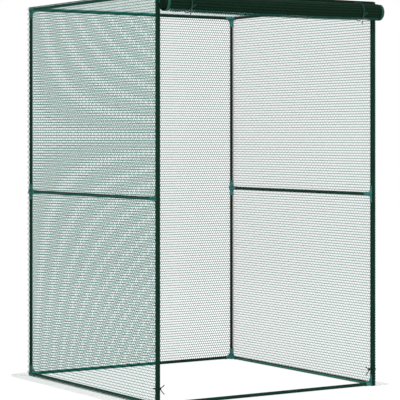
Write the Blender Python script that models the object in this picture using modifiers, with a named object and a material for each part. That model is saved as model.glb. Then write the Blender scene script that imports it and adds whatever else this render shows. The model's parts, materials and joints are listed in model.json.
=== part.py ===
"""Crop cage: push-fit steel tubes in moulded sockets, dressed with netting and a roll-up door.

Units are metres and +Z is up. The doorway faces -Y. The origin is on the ground, under the
middle of the outline, so the door roll that hangs in front of the posts moves the frame back.
"""

from math import ceil, cos, pi, sin, sqrt, tau

import bmesh
import bpy
from mathutils import Matrix, Vector

# The frame's overall sizes
cage_width = 1.220  # over the left and right posts
cage_depth = 1.220  # over the front and back posts
cage_height = 1.834  # from the ground to the top of the corner sockets

# The tube and its push fit
tube_diameter = 0.016
tube_wall = 0.0008
fit_gap = 0.0003  # between any two pieces that touch
round_sides = 16

# The moulded sockets, each arm measured from where the tube axes meet
socket_wall = 0.0015
corner_arm = 0.040
corner_riser = 0.045
corner_stop = 0.013  # where a tube's end stops inside an arm
corner_gusset_radius = 0.026
tee_run = 0.039
tee_branch = 0.050
tee_stop = 0.004
tee_gusset_radius = 0.020
gusset_thickness = 0.007
gusset_root = 0.0086  # how deep a gusset's edge starts inside the arm
hub_proud = 0.0002  # how far the hub stands out past the arms
hub_rounding = 0.006

# The netting, drawn with coarse cells
net_thickness = 0.0012
net_strand = 0.006
net_border = 0.014
cell_width = 0.230
cell_height = 0.260
skirt_width = 0.085
strip_cell = 0.150  # cells of the skirts and of the door's top, which have one row

# The tape sewn round the doorway
tape_thickness = 0.0012
post_tape_width = 0.022
roof_tape_top = 0.015
roof_tape_drop = 0.017
roof_tape_inset = 0.013

# The door panel, rolled up outwards in front of the posts
roll_end_inset = 0.007  # from the cage's sides to the roll's ends
roll_drop = 0.043  # from the top rail's axis down to the roll's axis
roll_core_radius = 0.004
layer_pitch = 0.0026
layer_thickness = 0.0014
points_per_turn = 20
door_floor_gap = 0.003

# The tie cords
cord_diameter = 0.004
knot_radius = 0.0048
roll_tie_inset = 0.123
roll_knot_turn = 0.42  # how far below the roll's axis the knot sits, as an angle
roll_tail = 0.044
post_tie_height = 0.080
post_tail = 0.030
tie_slot_height = 0.009
roll_tie_step = 0.011
post_tie_step = 0.005

# What follows from those sizes
tube_radius = tube_diameter / 2
bore_radius = tube_radius + fit_gap
arm_radius = bore_radius + socket_wall
socket_radius = arm_radius + hub_proud
post_x = cage_width / 2 - tube_radius
post_y = cage_depth / 2 - tube_radius
low_z = socket_radius
high_z = cage_height - socket_radius
mid_z = (low_z + high_z) / 2
cord_radius = cord_diameter / 2
net_inside = socket_radius + fit_gap
net_outside = net_inside + net_thickness
tape_front = net_inside + tape_thickness
door_back = tape_front + fit_gap + cord_diameter + fit_gap
door_front = door_back + layer_thickness
panel_length = high_z - low_z
roll_width = cage_width - 2 * roll_end_inset
roll_radius = sqrt(roll_core_radius**2 + panel_length * layer_pitch / pi)
roll_reach = door_back + layer_thickness / 2 + roll_radius
roll_z = high_z - roll_drop
door_travel = roll_z - roll_radius - layer_thickness / 2 - door_floor_gap

# The frame's middle, set so that the whole outline is centred on the origin
front_reach = post_y + roll_reach + roll_radius + layer_thickness / 2
back_reach = post_y + net_outside + fit_gap + skirt_width
middle_y = (front_reach - back_reach) / 2
front_y = middle_y - post_y
back_y = middle_y + post_y

GREEN_STEEL = ("green_powder_coat", (0.006, 0.030, 0.018), 0.42, 0.0)
TEAL_PLASTIC = ("teal_polypropylene", (0.030, 0.190, 0.165), 0.45, 0.0)
GREEN_NET = ("green_netting", (0.012, 0.075, 0.045), 0.80, 0.0)
GREEN_TAPE = ("green_hem_tape", (0.008, 0.040, 0.026), 0.85, 0.0)
GREEN_CORD = ("green_tie_cord", (0.060, 0.230, 0.190), 0.80, 0.0)
BLACK_CORD = ("black_tie_cord", (0.010, 0.012, 0.012), 0.80, 0.0)


def clear_scene():
    """Remove every object, so that the model is made in an empty scene."""
    for item in list(bpy.data.objects):
        bpy.data.objects.remove(item, do_unlink=True)


def new_collection(name):
    """Return a new collection in the scene."""
    collection = bpy.data.collections.new(name)
    bpy.context.scene.collection.children.link(collection)
    return collection


def material(finish):
    """Return the material of a finish, made at its first use."""
    name, colour, roughness, metallic = finish
    found = bpy.data.materials.get(name)
    if found:
        return found
    made = bpy.data.materials.new(name)
    made.use_nodes = True
    shader = made.node_tree.nodes["Principled BSDF"]
    shader.inputs["Base Color"].default_value = (*colour, 1.0)
    shader.inputs["Roughness"].default_value = roughness
    shader.inputs["Metallic"].default_value = metallic
    made.diffuse_color = (*colour, 1.0)
    return made


def add_object(name, data, finish, collection, place=None):
    """Link an object with its material and, where given, its place."""
    item = bpy.data.objects.new(name, data)
    collection.objects.link(item)
    if place is not None:
        item.matrix_world = place
    if not data.materials:
        data.materials.append(material(finish))
    return item


def facet_radius(radius):
    """Corner radius of a round_sides polygon whose flats lie at radius."""
    return radius / cos(pi / round_sides)


def turn_to(direction):
    """Rotation that takes +Z to a direction."""
    return Vector((0, 0, 1)).rotation_difference(Vector(direction)).to_matrix().to_4x4()


def solid_mesh(build):
    """Mesh from a function that fills a bmesh."""
    mesh = bpy.data.meshes.new("solid")
    form = bmesh.new()
    build(form)
    bmesh.ops.recalc_face_normals(form, faces=form.faces)
    form.to_mesh(mesh)
    form.free()
    return mesh


def rod_mesh(radius, direction, start, end):
    """Round bar along a direction, its flats square to the main axes."""
    place = turn_to(direction) @ Matrix.Translation((0, 0, (start + end) / 2))
    place = place @ Matrix.Rotation(pi / round_sides, 4, "Z")
    corner = facet_radius(radius)

    def build(form):
        bmesh.ops.create_cone(
            form, cap_ends=True, segments=round_sides, radius1=corner, radius2=corner,
            depth=end - start, matrix=place)

    return solid_mesh(build)


def hub_mesh():
    """Block that the arms grow from, rounded on the three edges of its outer corner."""
    outer = -socket_radius

    def build(form):
        bmesh.ops.create_cube(form, size=2 * socket_radius)
        edges = [edge for edge in form.edges
                 if sum(abs(edge.verts[0].co[i] - outer) < fit_gap
                        and abs(edge.verts[1].co[i] - outer) < fit_gap for i in range(3)) == 2]
        bmesh.ops.bevel(form, geom=edges, offset=hub_rounding, offset_type="OFFSET",
                        segments=3, profile=0.5, affect="EDGES")

    return solid_mesh(build)


def gusset_mesh(first, second, radius):
    """Flat web between two arms, its free edge a hollow quarter circle."""
    along, across = Vector(first), Vector(second)
    normal = along.cross(across)
    reach = gusset_root + radius
    steps = 6
    outline = [(0, 0), (reach, 0)]
    for step in range(steps + 1):
        angle = 1.5 * pi - step / steps * pi / 2
        outline.append((reach + radius * cos(angle), reach + radius * sin(angle)))
    outline.append((0, reach))

    def build(form):
        base = -normal * gusset_thickness / 2
        corners = [form.verts.new(base + along * x + across * y) for x, y in outline]
        face = form.faces.new(corners)
        grown = bmesh.ops.extrude_face_region(form, geom=[face])["geom"]
        top = [item for item in grown if isinstance(item, bmesh.types.BMVert)]
        bmesh.ops.translate(form, vec=normal * gusset_thickness, verts=top)

    return solid_mesh(build)


def joined_mesh(name, solids, cuts, cutters):
    """Mesh of closed solids joined into one body, with other solids cut out of it."""
    base = bpy.data.objects.new(name, solids[0])
    cutters.objects.link(base)
    steps = [(mesh, "UNION") for mesh in solids[1:]] + [(mesh, "DIFFERENCE") for mesh in cuts]
    for index, (mesh, operation) in enumerate(steps):
        tool = bpy.data.objects.new(f"{name}_tool_{index}", mesh)
        tool.hide_render = True
        tool.display_type = "WIRE"
        cutters.objects.link(tool)
        step = base.modifiers.new(operation.title(), "BOOLEAN")
        step.operation = operation
        step.solver = "EXACT"
        step.object = tool
    bpy.context.view_layer.update()
    graph = bpy.context.evaluated_depsgraph_get()
    mesh = bpy.data.meshes.new_from_object(base.evaluated_get(graph))
    for item in list(cutters.objects):
        bpy.data.objects.remove(item, do_unlink=True)
    form = bmesh.new()
    form.from_mesh(mesh)
    bmesh.ops.remove_doubles(form, verts=form.verts, dist=0.000001)
    bmesh.ops.dissolve_limit(form, angle_limit=0.001, verts=form.verts, edges=form.edges)
    form.to_mesh(mesh)
    form.free()
    mesh.shade_smooth()
    mesh.set_sharp_from_angle(angle=pi / 6)
    return mesh


def moulded_mesh(name, arms, bores, gussets, radius, cutters):
    """Mesh of a socket: a hub, arms and gussets joined, then a blind bore cut into each arm.

    An arm is a direction with its start and end, and a bore is one with its floor and mouth.
    """
    solids = [hub_mesh()]
    solids += [rod_mesh(arm_radius, way, start, end) for way, start, end in arms]
    solids += [gusset_mesh(first, second, radius) for first, second in gussets]
    past = socket_wall
    cuts = [rod_mesh(bore_radius, way, floor, mouth + past) for way, floor, mouth in bores]
    return joined_mesh(name, solids, cuts, cutters)


def add_tube(name, start, end, collection):
    """Hollow tube between two points on a main axis, as a turned profile."""
    start, end = Vector(start), Vector(end)
    length = (end - start).length
    half_step = pi / round_sides
    outer, inner = facet_radius(tube_radius), facet_radius(tube_radius - tube_wall)
    profile = [(outer, length), (outer, 0), (inner, 0), (inner, length)]
    mesh = bpy.data.meshes.new(name)
    form = bmesh.new()
    corners = [form.verts.new((r * cos(half_step), r * sin(half_step), z)) for r, z in profile]
    for index, corner in enumerate(corners):
        form.edges.new((corner, corners[(index + 1) % len(corners)]))
    form.to_mesh(mesh)
    form.free()
    place = Matrix.Translation(start) @ turn_to((end - start).normalized())
    item = add_object(name, mesh, GREEN_STEEL, collection, place)
    turned = item.modifiers.new("Turned", "SCREW")
    turned.axis = "Z"
    turned.angle = tau
    turned.steps = round_sides
    turned.render_steps = round_sides
    turned.use_merge_vertices = True
    turned.merge_threshold = 0.00001
    turned.use_smooth_shade = False


def add_frame(collection, cutters):
    """The tubes and the moulded sockets that they push into."""
    right, left, back, up, down = (1, 0, 0), (-1, 0, 0), (0, 1, 0), (0, 0, 1), (0, 0, -1)
    corner = moulded_mesh(
        "corner_moulding",
        [(right, 0, corner_arm), (back, 0, corner_arm), (up, 0, corner_riser)],
        [(right, corner_stop, corner_arm), (back, corner_stop, corner_arm),
         (up, corner_stop, corner_riser)],
        [(right, back), (back, up), (up, right)], corner_gusset_radius, cutters)
    tee = moulded_mesh(
        "tee_moulding",
        [(up, -tee_run, tee_run), (back, 0, tee_branch)],
        [(up, tee_stop, tee_run), (down, tee_stop, tee_run), (back, corner_stop, tee_branch)],
        [(back, up), (down, back)], tee_gusset_radius, cutters)
    sides = {"left": -post_x, "right": post_x}
    ends = {"front": front_y, "back": back_y}
    turns = {("front", "left"): 0, ("front", "right"): pi / 2,
             ("back", "right"): pi, ("back", "left"): 3 * pi / 2}
    tip_over = Matrix.Rotation(pi, 4, Vector((1, 1, 0)).normalized())
    seat = corner_stop + fit_gap
    for (end, side), angle in turns.items():
        x, y = sides[side], ends[end]
        spin = Matrix.Rotation(angle, 4, "Z")
        low = Matrix.Translation((x, y, low_z)) @ spin
        high = Matrix.Translation((x, y, high_z)) @ spin @ tip_over
        add_object(f"corner_socket_bottom_{end}_{side}", corner, TEAL_PLASTIC, collection, low)
        add_object(f"corner_socket_top_{end}_{side}", corner, TEAL_PLASTIC, collection, high)
        facing = Matrix.Rotation(0 if end == "front" else pi, 4, "Z")
        middle = Matrix.Translation((x, y, mid_z)) @ facing
        add_object(f"tee_socket_{end}_{side}", tee, TEAL_PLASTIC, collection, middle)
        split = tee_stop + fit_gap
        add_tube(f"post_lower_{end}_{side}", (x, y, low_z + seat), (x, y, mid_z - split), collection)
        add_tube(f"post_upper_{end}_{side}", (x, y, mid_z + split), (x, y, high_z - seat), collection)
    for level, z in (("bottom", low_z), ("top", high_z)):
        for end, y in ends.items():
            add_tube(f"{level}_rail_{end}", (-post_x + seat, y, z), (post_x - seat, y, z), collection)
    for level, z in (("bottom", low_z), ("middle", mid_z), ("top", high_z)):
        for side, x in sides.items():
            add_tube(f"{level}_rail_{side}", (x, front_y + seat, z), (x, back_y - seat, z), collection)


def trimmed(ring, axis, limit, keep):
    """The part of a convex ring on one side of a line: below its limit (-1) or above it (1)."""
    result = []
    for start, end in zip(ring, ring[1:] + ring[:1]):
        near, far = keep * (start[axis] - limit), keep * (end[axis] - limit)
        if near >= 0:
            result.append(start)
        if near * far < 0:
            share = near / (near - far)
            result.append(tuple(a + (b - a) * share for a, b in zip(start, end)))
    return result


def cell_outlines(low, high, width, height):
    """Six-sided gaps in columns, every second one half a cell lower, trimmed to the field.

    low and high are the corners of the field, whose edges run through the outer cells.
    """
    columns = max(1, round((high[0] - low[0]) / width))
    rows = max(1, round((high[1] - low[1]) / height))
    pitch_x = (high[0] - low[0]) / columns
    pitch_y = (high[1] - low[1]) / rows
    top = (pitch_y - net_strand) / 2
    flat = pitch_x / 3 - net_strand / (2 * sqrt(3))
    point = 2 * pitch_x / 3 - net_strand / sqrt(3)
    hexagon = [(point, 0), (flat, top), (-flat, top), (-point, 0), (-flat, -top), (flat, -top)]
    outlines = []
    for column in range(columns + 1):
        shift = 0.5 - column % 2 / 2
        for row in range(rows + column % 2):
            x, y = low[0] + pitch_x * column, low[1] + pitch_y * (row + shift)
            ring = [(x + u, y + v) for u, v in hexagon]
            for axis in (0, 1):
                ring = trimmed(ring, axis, low[axis], 1)
                ring = trimmed(ring, axis, high[axis], -1)
            outlines.append(ring)
    return outlines


def add_flat_net(name, outline, gaps, thickness, finish, place, collection):
    """Flat sheet with gaps, from closed outlines in its own plane, resting on that plane."""
    curve = bpy.data.curves.new(name, "CURVE")
    curve.dimensions = "2D"
    curve.fill_mode = "BOTH"
    curve.extrude = thickness / 2
    for ring in [outline] + gaps:
        spline = curve.splines.new("POLY")
        spline.points.add(len(ring) - 1)
        for point, (x, y) in zip(spline.points, ring):
            point.co = (x, y, 0, 1)
        spline.use_cyclic_u = True
    lift = Matrix.Translation((0, 0, thickness / 2))
    return add_object(name, curve, finish, collection, place @ lift)


def rectangle(low, high):
    """Corners of a rectangle."""
    return [low, (high[0], low[1]), high, (low[0], high[1])]


def plane(origin, across, up):
    """Placement whose own X, Y and Z run across, up and out of a panel."""
    across, up = Vector(across), Vector(up)
    turn = Matrix((across, up, across.cross(up))).transposed().to_4x4()
    return Matrix.Translation(origin) @ turn


def field(low, high):
    """The field of cells inside a panel's border."""
    edge = net_border
    return (low[0] + edge, low[1] + edge), (high[0] - edge, high[1] - edge)


def add_wall_nets(collection):
    """Left, right and back walls and the roof, stretched just outside the sockets."""
    top = high_z + net_inside - fit_gap
    low, high = (front_y - net_inside + fit_gap, fit_gap), (back_y + net_inside - fit_gap, top)
    slot_low = front_y + tube_radius + fit_gap
    slot = rectangle((slot_low, post_tie_height - tie_slot_height / 2),
                     (slot_low + tie_slot_height, post_tie_height + tie_slot_height / 2))
    field_low, field_high = field(low, high)
    field_low = (slot[1][0] + net_strand, field_low[1])
    cells = cell_outlines(field_low, field_high, cell_width, cell_height)
    for side, x in (("left", -post_x - net_outside), ("right", post_x + net_inside)):
        place = plane((x, 0, 0), (0, 1, 0), (0, 0, 1))
        add_flat_net(f"net_{side}", rectangle(low, high), cells + [slot], net_thickness,
                     GREEN_NET, place, collection)
    reach = post_x + net_outside
    low, high = (-reach, fit_gap), (reach, top)
    cells = cell_outlines(*field(low, high), cell_width, cell_height)
    place = plane((0, back_y + net_outside, 0), (1, 0, 0), (0, 0, 1))
    add_flat_net("net_back", rectangle(low, high), cells, net_thickness, GREEN_NET, place,
                 collection)
    low = (-reach, front_y - door_back - tape_thickness + roof_tape_top + fit_gap)
    high = (reach, back_y + net_outside)
    cells = cell_outlines(*field(low, high), cell_width, cell_height)
    place = plane((0, 0, high_z + net_inside), (1, 0, 0), (0, 1, 0))
    add_flat_net("net_roof", rectangle(low, high), cells, net_thickness, GREEN_NET, place,
                 collection)


def gap_row(low, high):
    """Gaps side by side along X, with a strand between each two and past each end."""
    length = high[0] - low[0] - net_strand
    count = max(1, round(length / strip_cell))
    pitch = length / count
    starts = [low[0] + net_strand + pitch * index for index in range(count)]
    return [rectangle((x, low[1]), (x + pitch - net_strand, high[1])) for x in starts]


def add_skirts(collection):
    """Flap of net on the ground outside the left, right and back walls, mitred at the corners."""
    inner_x, inner_y = post_x + net_outside + fit_gap, back_y + net_outside + fit_gap
    outer_x, outer_y = inner_x + skirt_width, inner_y + skirt_width
    front = front_y - tape_front
    flat = plane((0, 0, 0), (1, 0, 0), (0, 1, 0))
    outline = [(inner_x, front), (outer_x, front), (outer_x, outer_y - fit_gap),
               (inner_x, inner_y - fit_gap)]
    row = gap_row((front, inner_x + net_border), (inner_y, outer_x - net_border))
    gaps = [[(x, y) for y, x in ring] for ring in row]
    for side, sign in (("left", -1), ("right", 1)):
        add_flat_net(f"skirt_{side}", mirrored(outline, sign), [mirrored(ring, sign) for ring in gaps],
                     net_thickness, GREEN_NET, flat, collection)
    outline = [(-inner_x, inner_y), (inner_x, inner_y), (outer_x - fit_gap, outer_y),
               (-outer_x + fit_gap, outer_y)]
    gaps = gap_row((-inner_x, inner_y + net_border), (inner_x, outer_y - net_border))
    add_flat_net("skirt_back", outline, gaps, net_thickness, GREEN_NET, flat, collection)


def mirrored(ring, sign):
    """A ring of points, on the other side of the middle where sign is -1."""
    return [(x * sign, y) for x, y in ring]


def add_tapes(collection):
    """Tape down both sides of the doorway, and over the front top rail."""
    top = high_z + net_inside - fit_gap
    outer = post_x + net_outside
    for side, sign in (("left", -1), ("right", 1)):
        outline = mirrored(rectangle((outer - post_tape_width, fit_gap), (outer, top)), sign)
        place = plane((0, front_y - net_inside, 0), (1, 0, 0), (0, 0, 1))
        add_flat_net(f"doorway_tape_{side}", outline, [], tape_thickness, GREEN_TAPE, place,
                     collection)
    half = tape_thickness / 2
    reach = outer - roof_tape_inset
    face, crown = front_y - door_back - tape_thickness, high_z + tape_front
    profile = [(face + roof_tape_top, crown - half), (face + half, crown - half),
               (face + half, crown - roof_tape_drop)]
    mesh = bpy.data.meshes.new("doorway_tape_top")
    form = bmesh.new()
    bend = [form.verts.new((-reach, y, z)) for y, z in profile]
    edges = [form.edges.new(pair) for pair in zip(bend, bend[1:])]
    grown = bmesh.ops.extrude_edge_only(form, edges=edges)["geom"]
    ends = [item for item in grown if isinstance(item, bmesh.types.BMVert)]
    bmesh.ops.translate(form, vec=(2 * reach, 0, 0), verts=ends)
    form.to_mesh(mesh)
    form.free()
    tape = add_object("doorway_tape_top", mesh, GREEN_TAPE, collection)
    solidify(tape, tape_thickness)


def solidify(item, thickness):
    """Give an open surface its thickness, half to each side."""
    wall = item.modifiers.new("Thickness", "SOLIDIFY")
    wall.thickness = thickness
    wall.offset = 0
    wall.use_even_offset = True


def spiral_points():
    """Section of the rolled panel in Y and Z from its axis, from the outer end inwards."""
    turns = (roll_radius - roll_core_radius) / layer_pitch
    count = ceil(turns * points_per_turn)
    points = []
    for index in range(count + 1):
        angle = tau * turns * index / count
        radius = roll_radius - layer_pitch * turns * index / count
        points.append(Vector((radius * cos(angle), -radius * sin(angle))))
    return points


def least_gap(points):
    """Least clear distance between a spiral's layers, from points to the next layer's lines."""
    least = None
    for index, point in enumerate(points):
        for other in range(index + points_per_turn // 2, len(points) - 1):
            start, end = points[other], points[other + 1]
            run = end - start
            share = min(1, max(0, (point - start).dot(run) / run.dot(run)))
            distance = (point - start - run * share).length - layer_thickness
            least = distance if least is None else min(least, distance)
    return least


def add_door(collection):
    """Rolled door panel on its own axis, and the strip of panel that hangs down to it."""
    points = spiral_points()
    print(f"least gap between the roll's layers: {least_gap(points) * 1000:.2f} mm")
    mesh = bpy.data.meshes.new("door_net_roll")
    form = bmesh.new()
    end = -roll_width / 2
    winding = [form.verts.new((end, y, z)) for y, z in points]
    edges = [form.edges.new(pair) for pair in zip(winding, winding[1:])]
    grown = bmesh.ops.extrude_edge_only(form, edges=edges)["geom"]
    far = [item for item in grown if isinstance(item, bmesh.types.BMVert)]
    bmesh.ops.translate(form, vec=(roll_width, 0, 0), verts=far)
    form.to_mesh(mesh)
    form.free()
    place = Matrix.Translation((0, front_y - roll_reach, roll_z))
    roll = add_object("door_net_roll", mesh, GREEN_NET, collection, place)
    solidify(roll, layer_thickness)
    top = high_z + tape_front - roof_tape_drop - fit_gap
    low = (-roll_width / 2, roll_z + fit_gap)
    high = (roll_width / 2, top)
    gaps = gap_row((low[0], low[1] + net_strand), (high[0], high[1] - net_strand))
    place = plane((0, front_y - door_back, 0), (1, 0, 0), (0, 0, 1))
    add_flat_net("door_net_top", rectangle(low, high), gaps, layer_thickness, GREEN_NET, place,
                 collection)


def smooth_route(route, spacing):
    """Evenly spaced points on a smooth curve through a route's points."""
    route = [Vector(point) for point in route]
    padded = [2 * route[0] - route[1]] + route + [2 * route[-1] - route[-2]]
    fine = []
    steps = 24
    for a, b, c, d in zip(padded, padded[1:], padded[2:], padded[3:]):
        for step in range(steps):
            t = step / steps
            fine.append(0.5 * (2 * b + (c - a) * t + (2 * a - 5 * b + 4 * c - d) * t * t
                               + (3 * b - 3 * c + d - a) * t**3))
    fine.append(route[-1])
    lengths = [0.0]
    for start, end in zip(fine, fine[1:]):
        lengths.append(lengths[-1] + (end - start).length)
    count = max(2, round(lengths[-1] / spacing))
    points, at = [], 0
    for index in range(count + 1):
        target = lengths[-1] * index / count
        while at < len(fine) - 2 and lengths[at + 1] < target:
            at += 1
        share = (target - lengths[at]) / (lengths[at + 1] - lengths[at])
        points.append(fine[at].lerp(fine[at + 1], min(1, share)))
    return points


def cord_mesh(route, step, cutters):
    """Closed round tube along a route, with a ring of points at each step."""
    curve = bpy.data.curves.new("cord", "CURVE")
    curve.dimensions = "3D"
    curve.bevel_depth = cord_radius
    curve.bevel_resolution = 2
    curve.use_fill_caps = True
    points = smooth_route(route, step)
    spline = curve.splines.new("POLY")
    spline.points.add(len(points) - 1)
    for target, point in zip(spline.points, points):
        target.co = (*point, 1)
    cord = bpy.data.objects.new("cord", curve)
    cutters.objects.link(cord)
    bpy.context.view_layer.update()
    graph = bpy.context.evaluated_depsgraph_get()
    mesh = bpy.data.meshes.new_from_object(cord.evaluated_get(graph))
    bpy.data.objects.remove(cord, do_unlink=True)
    form = bmesh.new()
    form.from_mesh(mesh)
    bmesh.ops.remove_doubles(form, verts=form.verts, dist=0.00001)
    bmesh.ops.recalc_face_normals(form, faces=form.faces)
    form.to_mesh(mesh)
    form.free()
    return mesh


def knot_mesh(centre):
    """Round knot."""

    def build(form):
        bmesh.ops.create_uvsphere(form, u_segments=10, v_segments=6, radius=knot_radius,
                                  matrix=Matrix.Translation(centre))

    return solid_mesh(build)


def add_tie(name, routes, step, knot, finish, cutters, collection):
    """A tie: its cord runs and tails, joined in their knot."""
    solids = [knot_mesh(knot)] + [cord_mesh(route, step, cutters) for route in routes]
    mesh = joined_mesh(name, solids, [], cutters)
    mesh.materials.clear()
    add_object(name, mesh, finish, collection)


def add_roll_ties(cutters, collection):
    """Two cords sewn to the top tape, knotted in front of the roll and passing behind it."""
    axis_y, axis_z = front_y - roll_reach, roll_z
    sag = roll_tie_step**2 / (8 * roll_radius)
    clear = roll_radius + layer_thickness / 2 + fit_gap + sag + cord_radius
    behind = front_y - door_back + fit_gap + cord_radius
    sewn_back = high_z + net_inside - tape_thickness - cord_radius
    sewn_front = front_y - door_front - fit_gap - cord_radius
    away = knot_radius
    inner = knot_radius / 3
    knot_reach = clear + knot_radius - cord_radius
    knot_turn = pi + roll_knot_turn
    lift = inner / clear
    for side, sign in (("left", -1), ("right", 1)):
        x = sign * (post_x - roll_tie_inset)

        def round_roll(start, end, steps):
            """Points on an arc round the roll, from one angle to another."""
            angles = [start + (end - start) * step / steps for step in range(steps + 1)]
            return [(x, axis_y + clear * cos(angle), axis_z + clear * sin(angle))
                    for angle in angles]

        over = [(x, sewn_front, high_z), *round_roll(0.60 * pi, knot_turn - lift, 6)]
        under = [*round_roll(knot_turn + lift, 1.93 * pi, 8), (x, behind, axis_z + clear / 3),
                 (x, behind, sewn_back)]
        knot = Vector((x, axis_y + knot_reach * cos(knot_turn),
                       axis_z + knot_reach * sin(knot_turn)))
        rise = [knot + Vector((inner, 0, 0)), knot + Vector((2 * away, -away / 2, away)),
                knot + Vector((3.4 * away, -away / 2, 2.8 * away))]
        fall = [knot + Vector((0, 0, -inner)), knot + Vector((-away, -away / 3, -2 * away)),
                knot + Vector((-2.8 * away, 0, -roll_tail))]
        add_tie(f"roll_tie_{side}", [over, under, rise, fall], roll_tie_step, knot,
                GREEN_CORD, cutters, collection)


def add_post_ties(cutters, collection):
    """A cord round each front post near the ground, through the side net, knotted inside.

    The route is drawn for the right post from the post's axis, with +X away from the doorway.
    """
    clear = cord_radius + 2 * fit_gap
    tape_edge = net_outside - post_tape_width
    slot_y = tube_radius + fit_gap + tie_slot_height / 2
    behind = tube_radius + clear
    inner = knot_radius / 3
    knot = Vector((-behind - knot_radius, 0, 0))

    def bend(x, y, start, end):
        """Points on a quarter turn of the cord round an edge."""
        angles = [start + (end - start) * step / 3 for step in range(4)]
        return [(x + clear * cos(angle), y + clear * sin(angle), 0) for angle in angles]

    loop = [knot + Vector((0, -inner, 0)), *bend(tape_edge, -tape_front, pi, 1.5 * pi),
            *bend(net_outside, -tape_front, 1.5 * pi, tau),
            (net_outside + clear, slot_y - 2 * clear, 0),
            (net_outside + clear / 2, slot_y - clear / 2, 0), (net_inside, slot_y, 0),
            (behind / 2, slot_y, 0), (-behind / 2, behind, 0), knot + Vector((0, inner, 0))]
    rise = [knot + Vector((-inner, 0, 0)), knot + Vector((-2 * knot_radius, 0, knot_radius)),
            knot + Vector((-0.7 * post_tail, 0, 0.45 * post_tail))]
    fall = [knot + Vector((0, 0, -inner)), knot + Vector((-knot_radius, 0, -2 * knot_radius)),
            knot + Vector((-0.7 * post_tail, 0, -0.95 * post_tail))]
    for side, sign in (("left", -1), ("right", 1)):

        def at_post(point):
            """A point of the route, at this post."""
            return Vector((sign * (post_x + point[0]), front_y + point[1],
                           post_tie_height + point[2]))

        routes = [[at_post(point) for point in route] for route in (loop, rise, fall)]
        add_tie(f"post_tie_{side}", routes, post_tie_step, at_post(knot), BLACK_CORD, cutters,
                collection)


def main():
    """Build the cage."""
    clear_scene()
    cage = new_collection("crop_cage")
    cutters = new_collection("cutters")
    add_frame(cage, cutters)
    add_wall_nets(cage)
    add_skirts(cage)
    add_tapes(cage)
    add_door(cage)
    add_roll_ties(cutters, cage)
    add_post_ties(cutters, cage)
    print(f"door travel: {door_travel:.4f} m, roll radius: {roll_radius * 1000:.1f} mm")


main()
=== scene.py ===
"""Looks of the crop cage: tube frame, moulded sockets, hexagonal netting, rolled door and ties.

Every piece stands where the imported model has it. Units are metres and +Z is up.
"""

import json
import logging
from dataclasses import dataclass, field
from enum import Enum
from math import atan2, ceil, cos, floor, pi, sin, tau
from typing import Callable, Sequence

import bmesh
import bpy
import numpy as np
from bpy.types import Material, Node, NodeSocket, Object
from mathutils import Matrix, Vector


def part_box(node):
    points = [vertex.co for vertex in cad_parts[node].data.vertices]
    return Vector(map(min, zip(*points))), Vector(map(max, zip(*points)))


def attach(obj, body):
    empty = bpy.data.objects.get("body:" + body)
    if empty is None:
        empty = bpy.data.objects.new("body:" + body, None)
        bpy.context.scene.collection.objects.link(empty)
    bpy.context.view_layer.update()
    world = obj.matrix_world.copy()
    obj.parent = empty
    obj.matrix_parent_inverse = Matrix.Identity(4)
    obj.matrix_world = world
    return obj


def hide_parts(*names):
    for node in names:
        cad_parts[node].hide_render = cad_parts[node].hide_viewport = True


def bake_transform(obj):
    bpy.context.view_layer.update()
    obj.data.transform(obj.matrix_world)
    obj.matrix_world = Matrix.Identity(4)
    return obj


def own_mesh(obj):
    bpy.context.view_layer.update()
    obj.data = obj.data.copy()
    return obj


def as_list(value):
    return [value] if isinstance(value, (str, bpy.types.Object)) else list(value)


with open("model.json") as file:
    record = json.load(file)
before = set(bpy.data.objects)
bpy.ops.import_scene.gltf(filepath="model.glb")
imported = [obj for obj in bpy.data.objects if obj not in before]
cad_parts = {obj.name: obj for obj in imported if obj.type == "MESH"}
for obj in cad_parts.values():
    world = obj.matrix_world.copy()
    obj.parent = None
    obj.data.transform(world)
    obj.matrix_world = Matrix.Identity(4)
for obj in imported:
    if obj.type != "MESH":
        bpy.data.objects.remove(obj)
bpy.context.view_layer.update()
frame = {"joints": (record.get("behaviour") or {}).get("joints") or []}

LOG = logging.getLogger("crop_cage")

Point = tuple[float, float, float]
Pair = tuple[float, float]
Colour = tuple[float, float, float]
Placer = Callable[[np.ndarray], np.ndarray]

ROLL_CENTRE = (-0.65845, 1.78100)  # Y and Z of the rolled door's axis
ROLL_RADIUS = 0.03895  # to the middle of its outer layer
WHITE = (1.0, 1.0, 1.0)


class Body(Enum):
    """The bodies that a piece can ride on."""

    CAGE = "cage"
    DOOR_ROLL = "door_roll"


class Slot(Enum):
    """The record's material slots."""

    STEEL = "green_steel"
    PLASTIC = "teal_plastic"
    NET = "green_net"
    TAPE = "green_tape"
    GREEN_CORD = "green_cord"
    BLACK_CORD = "black_cord"


class Side(Enum):
    """The left and right of the cage, each with its sign along X."""

    LEFT = -1
    RIGHT = 1

    @property
    def word(self) -> str:
        """The side's name in lower case."""
        return self.name.lower()


# ---------------------------------------------------------------- finishes


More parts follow.
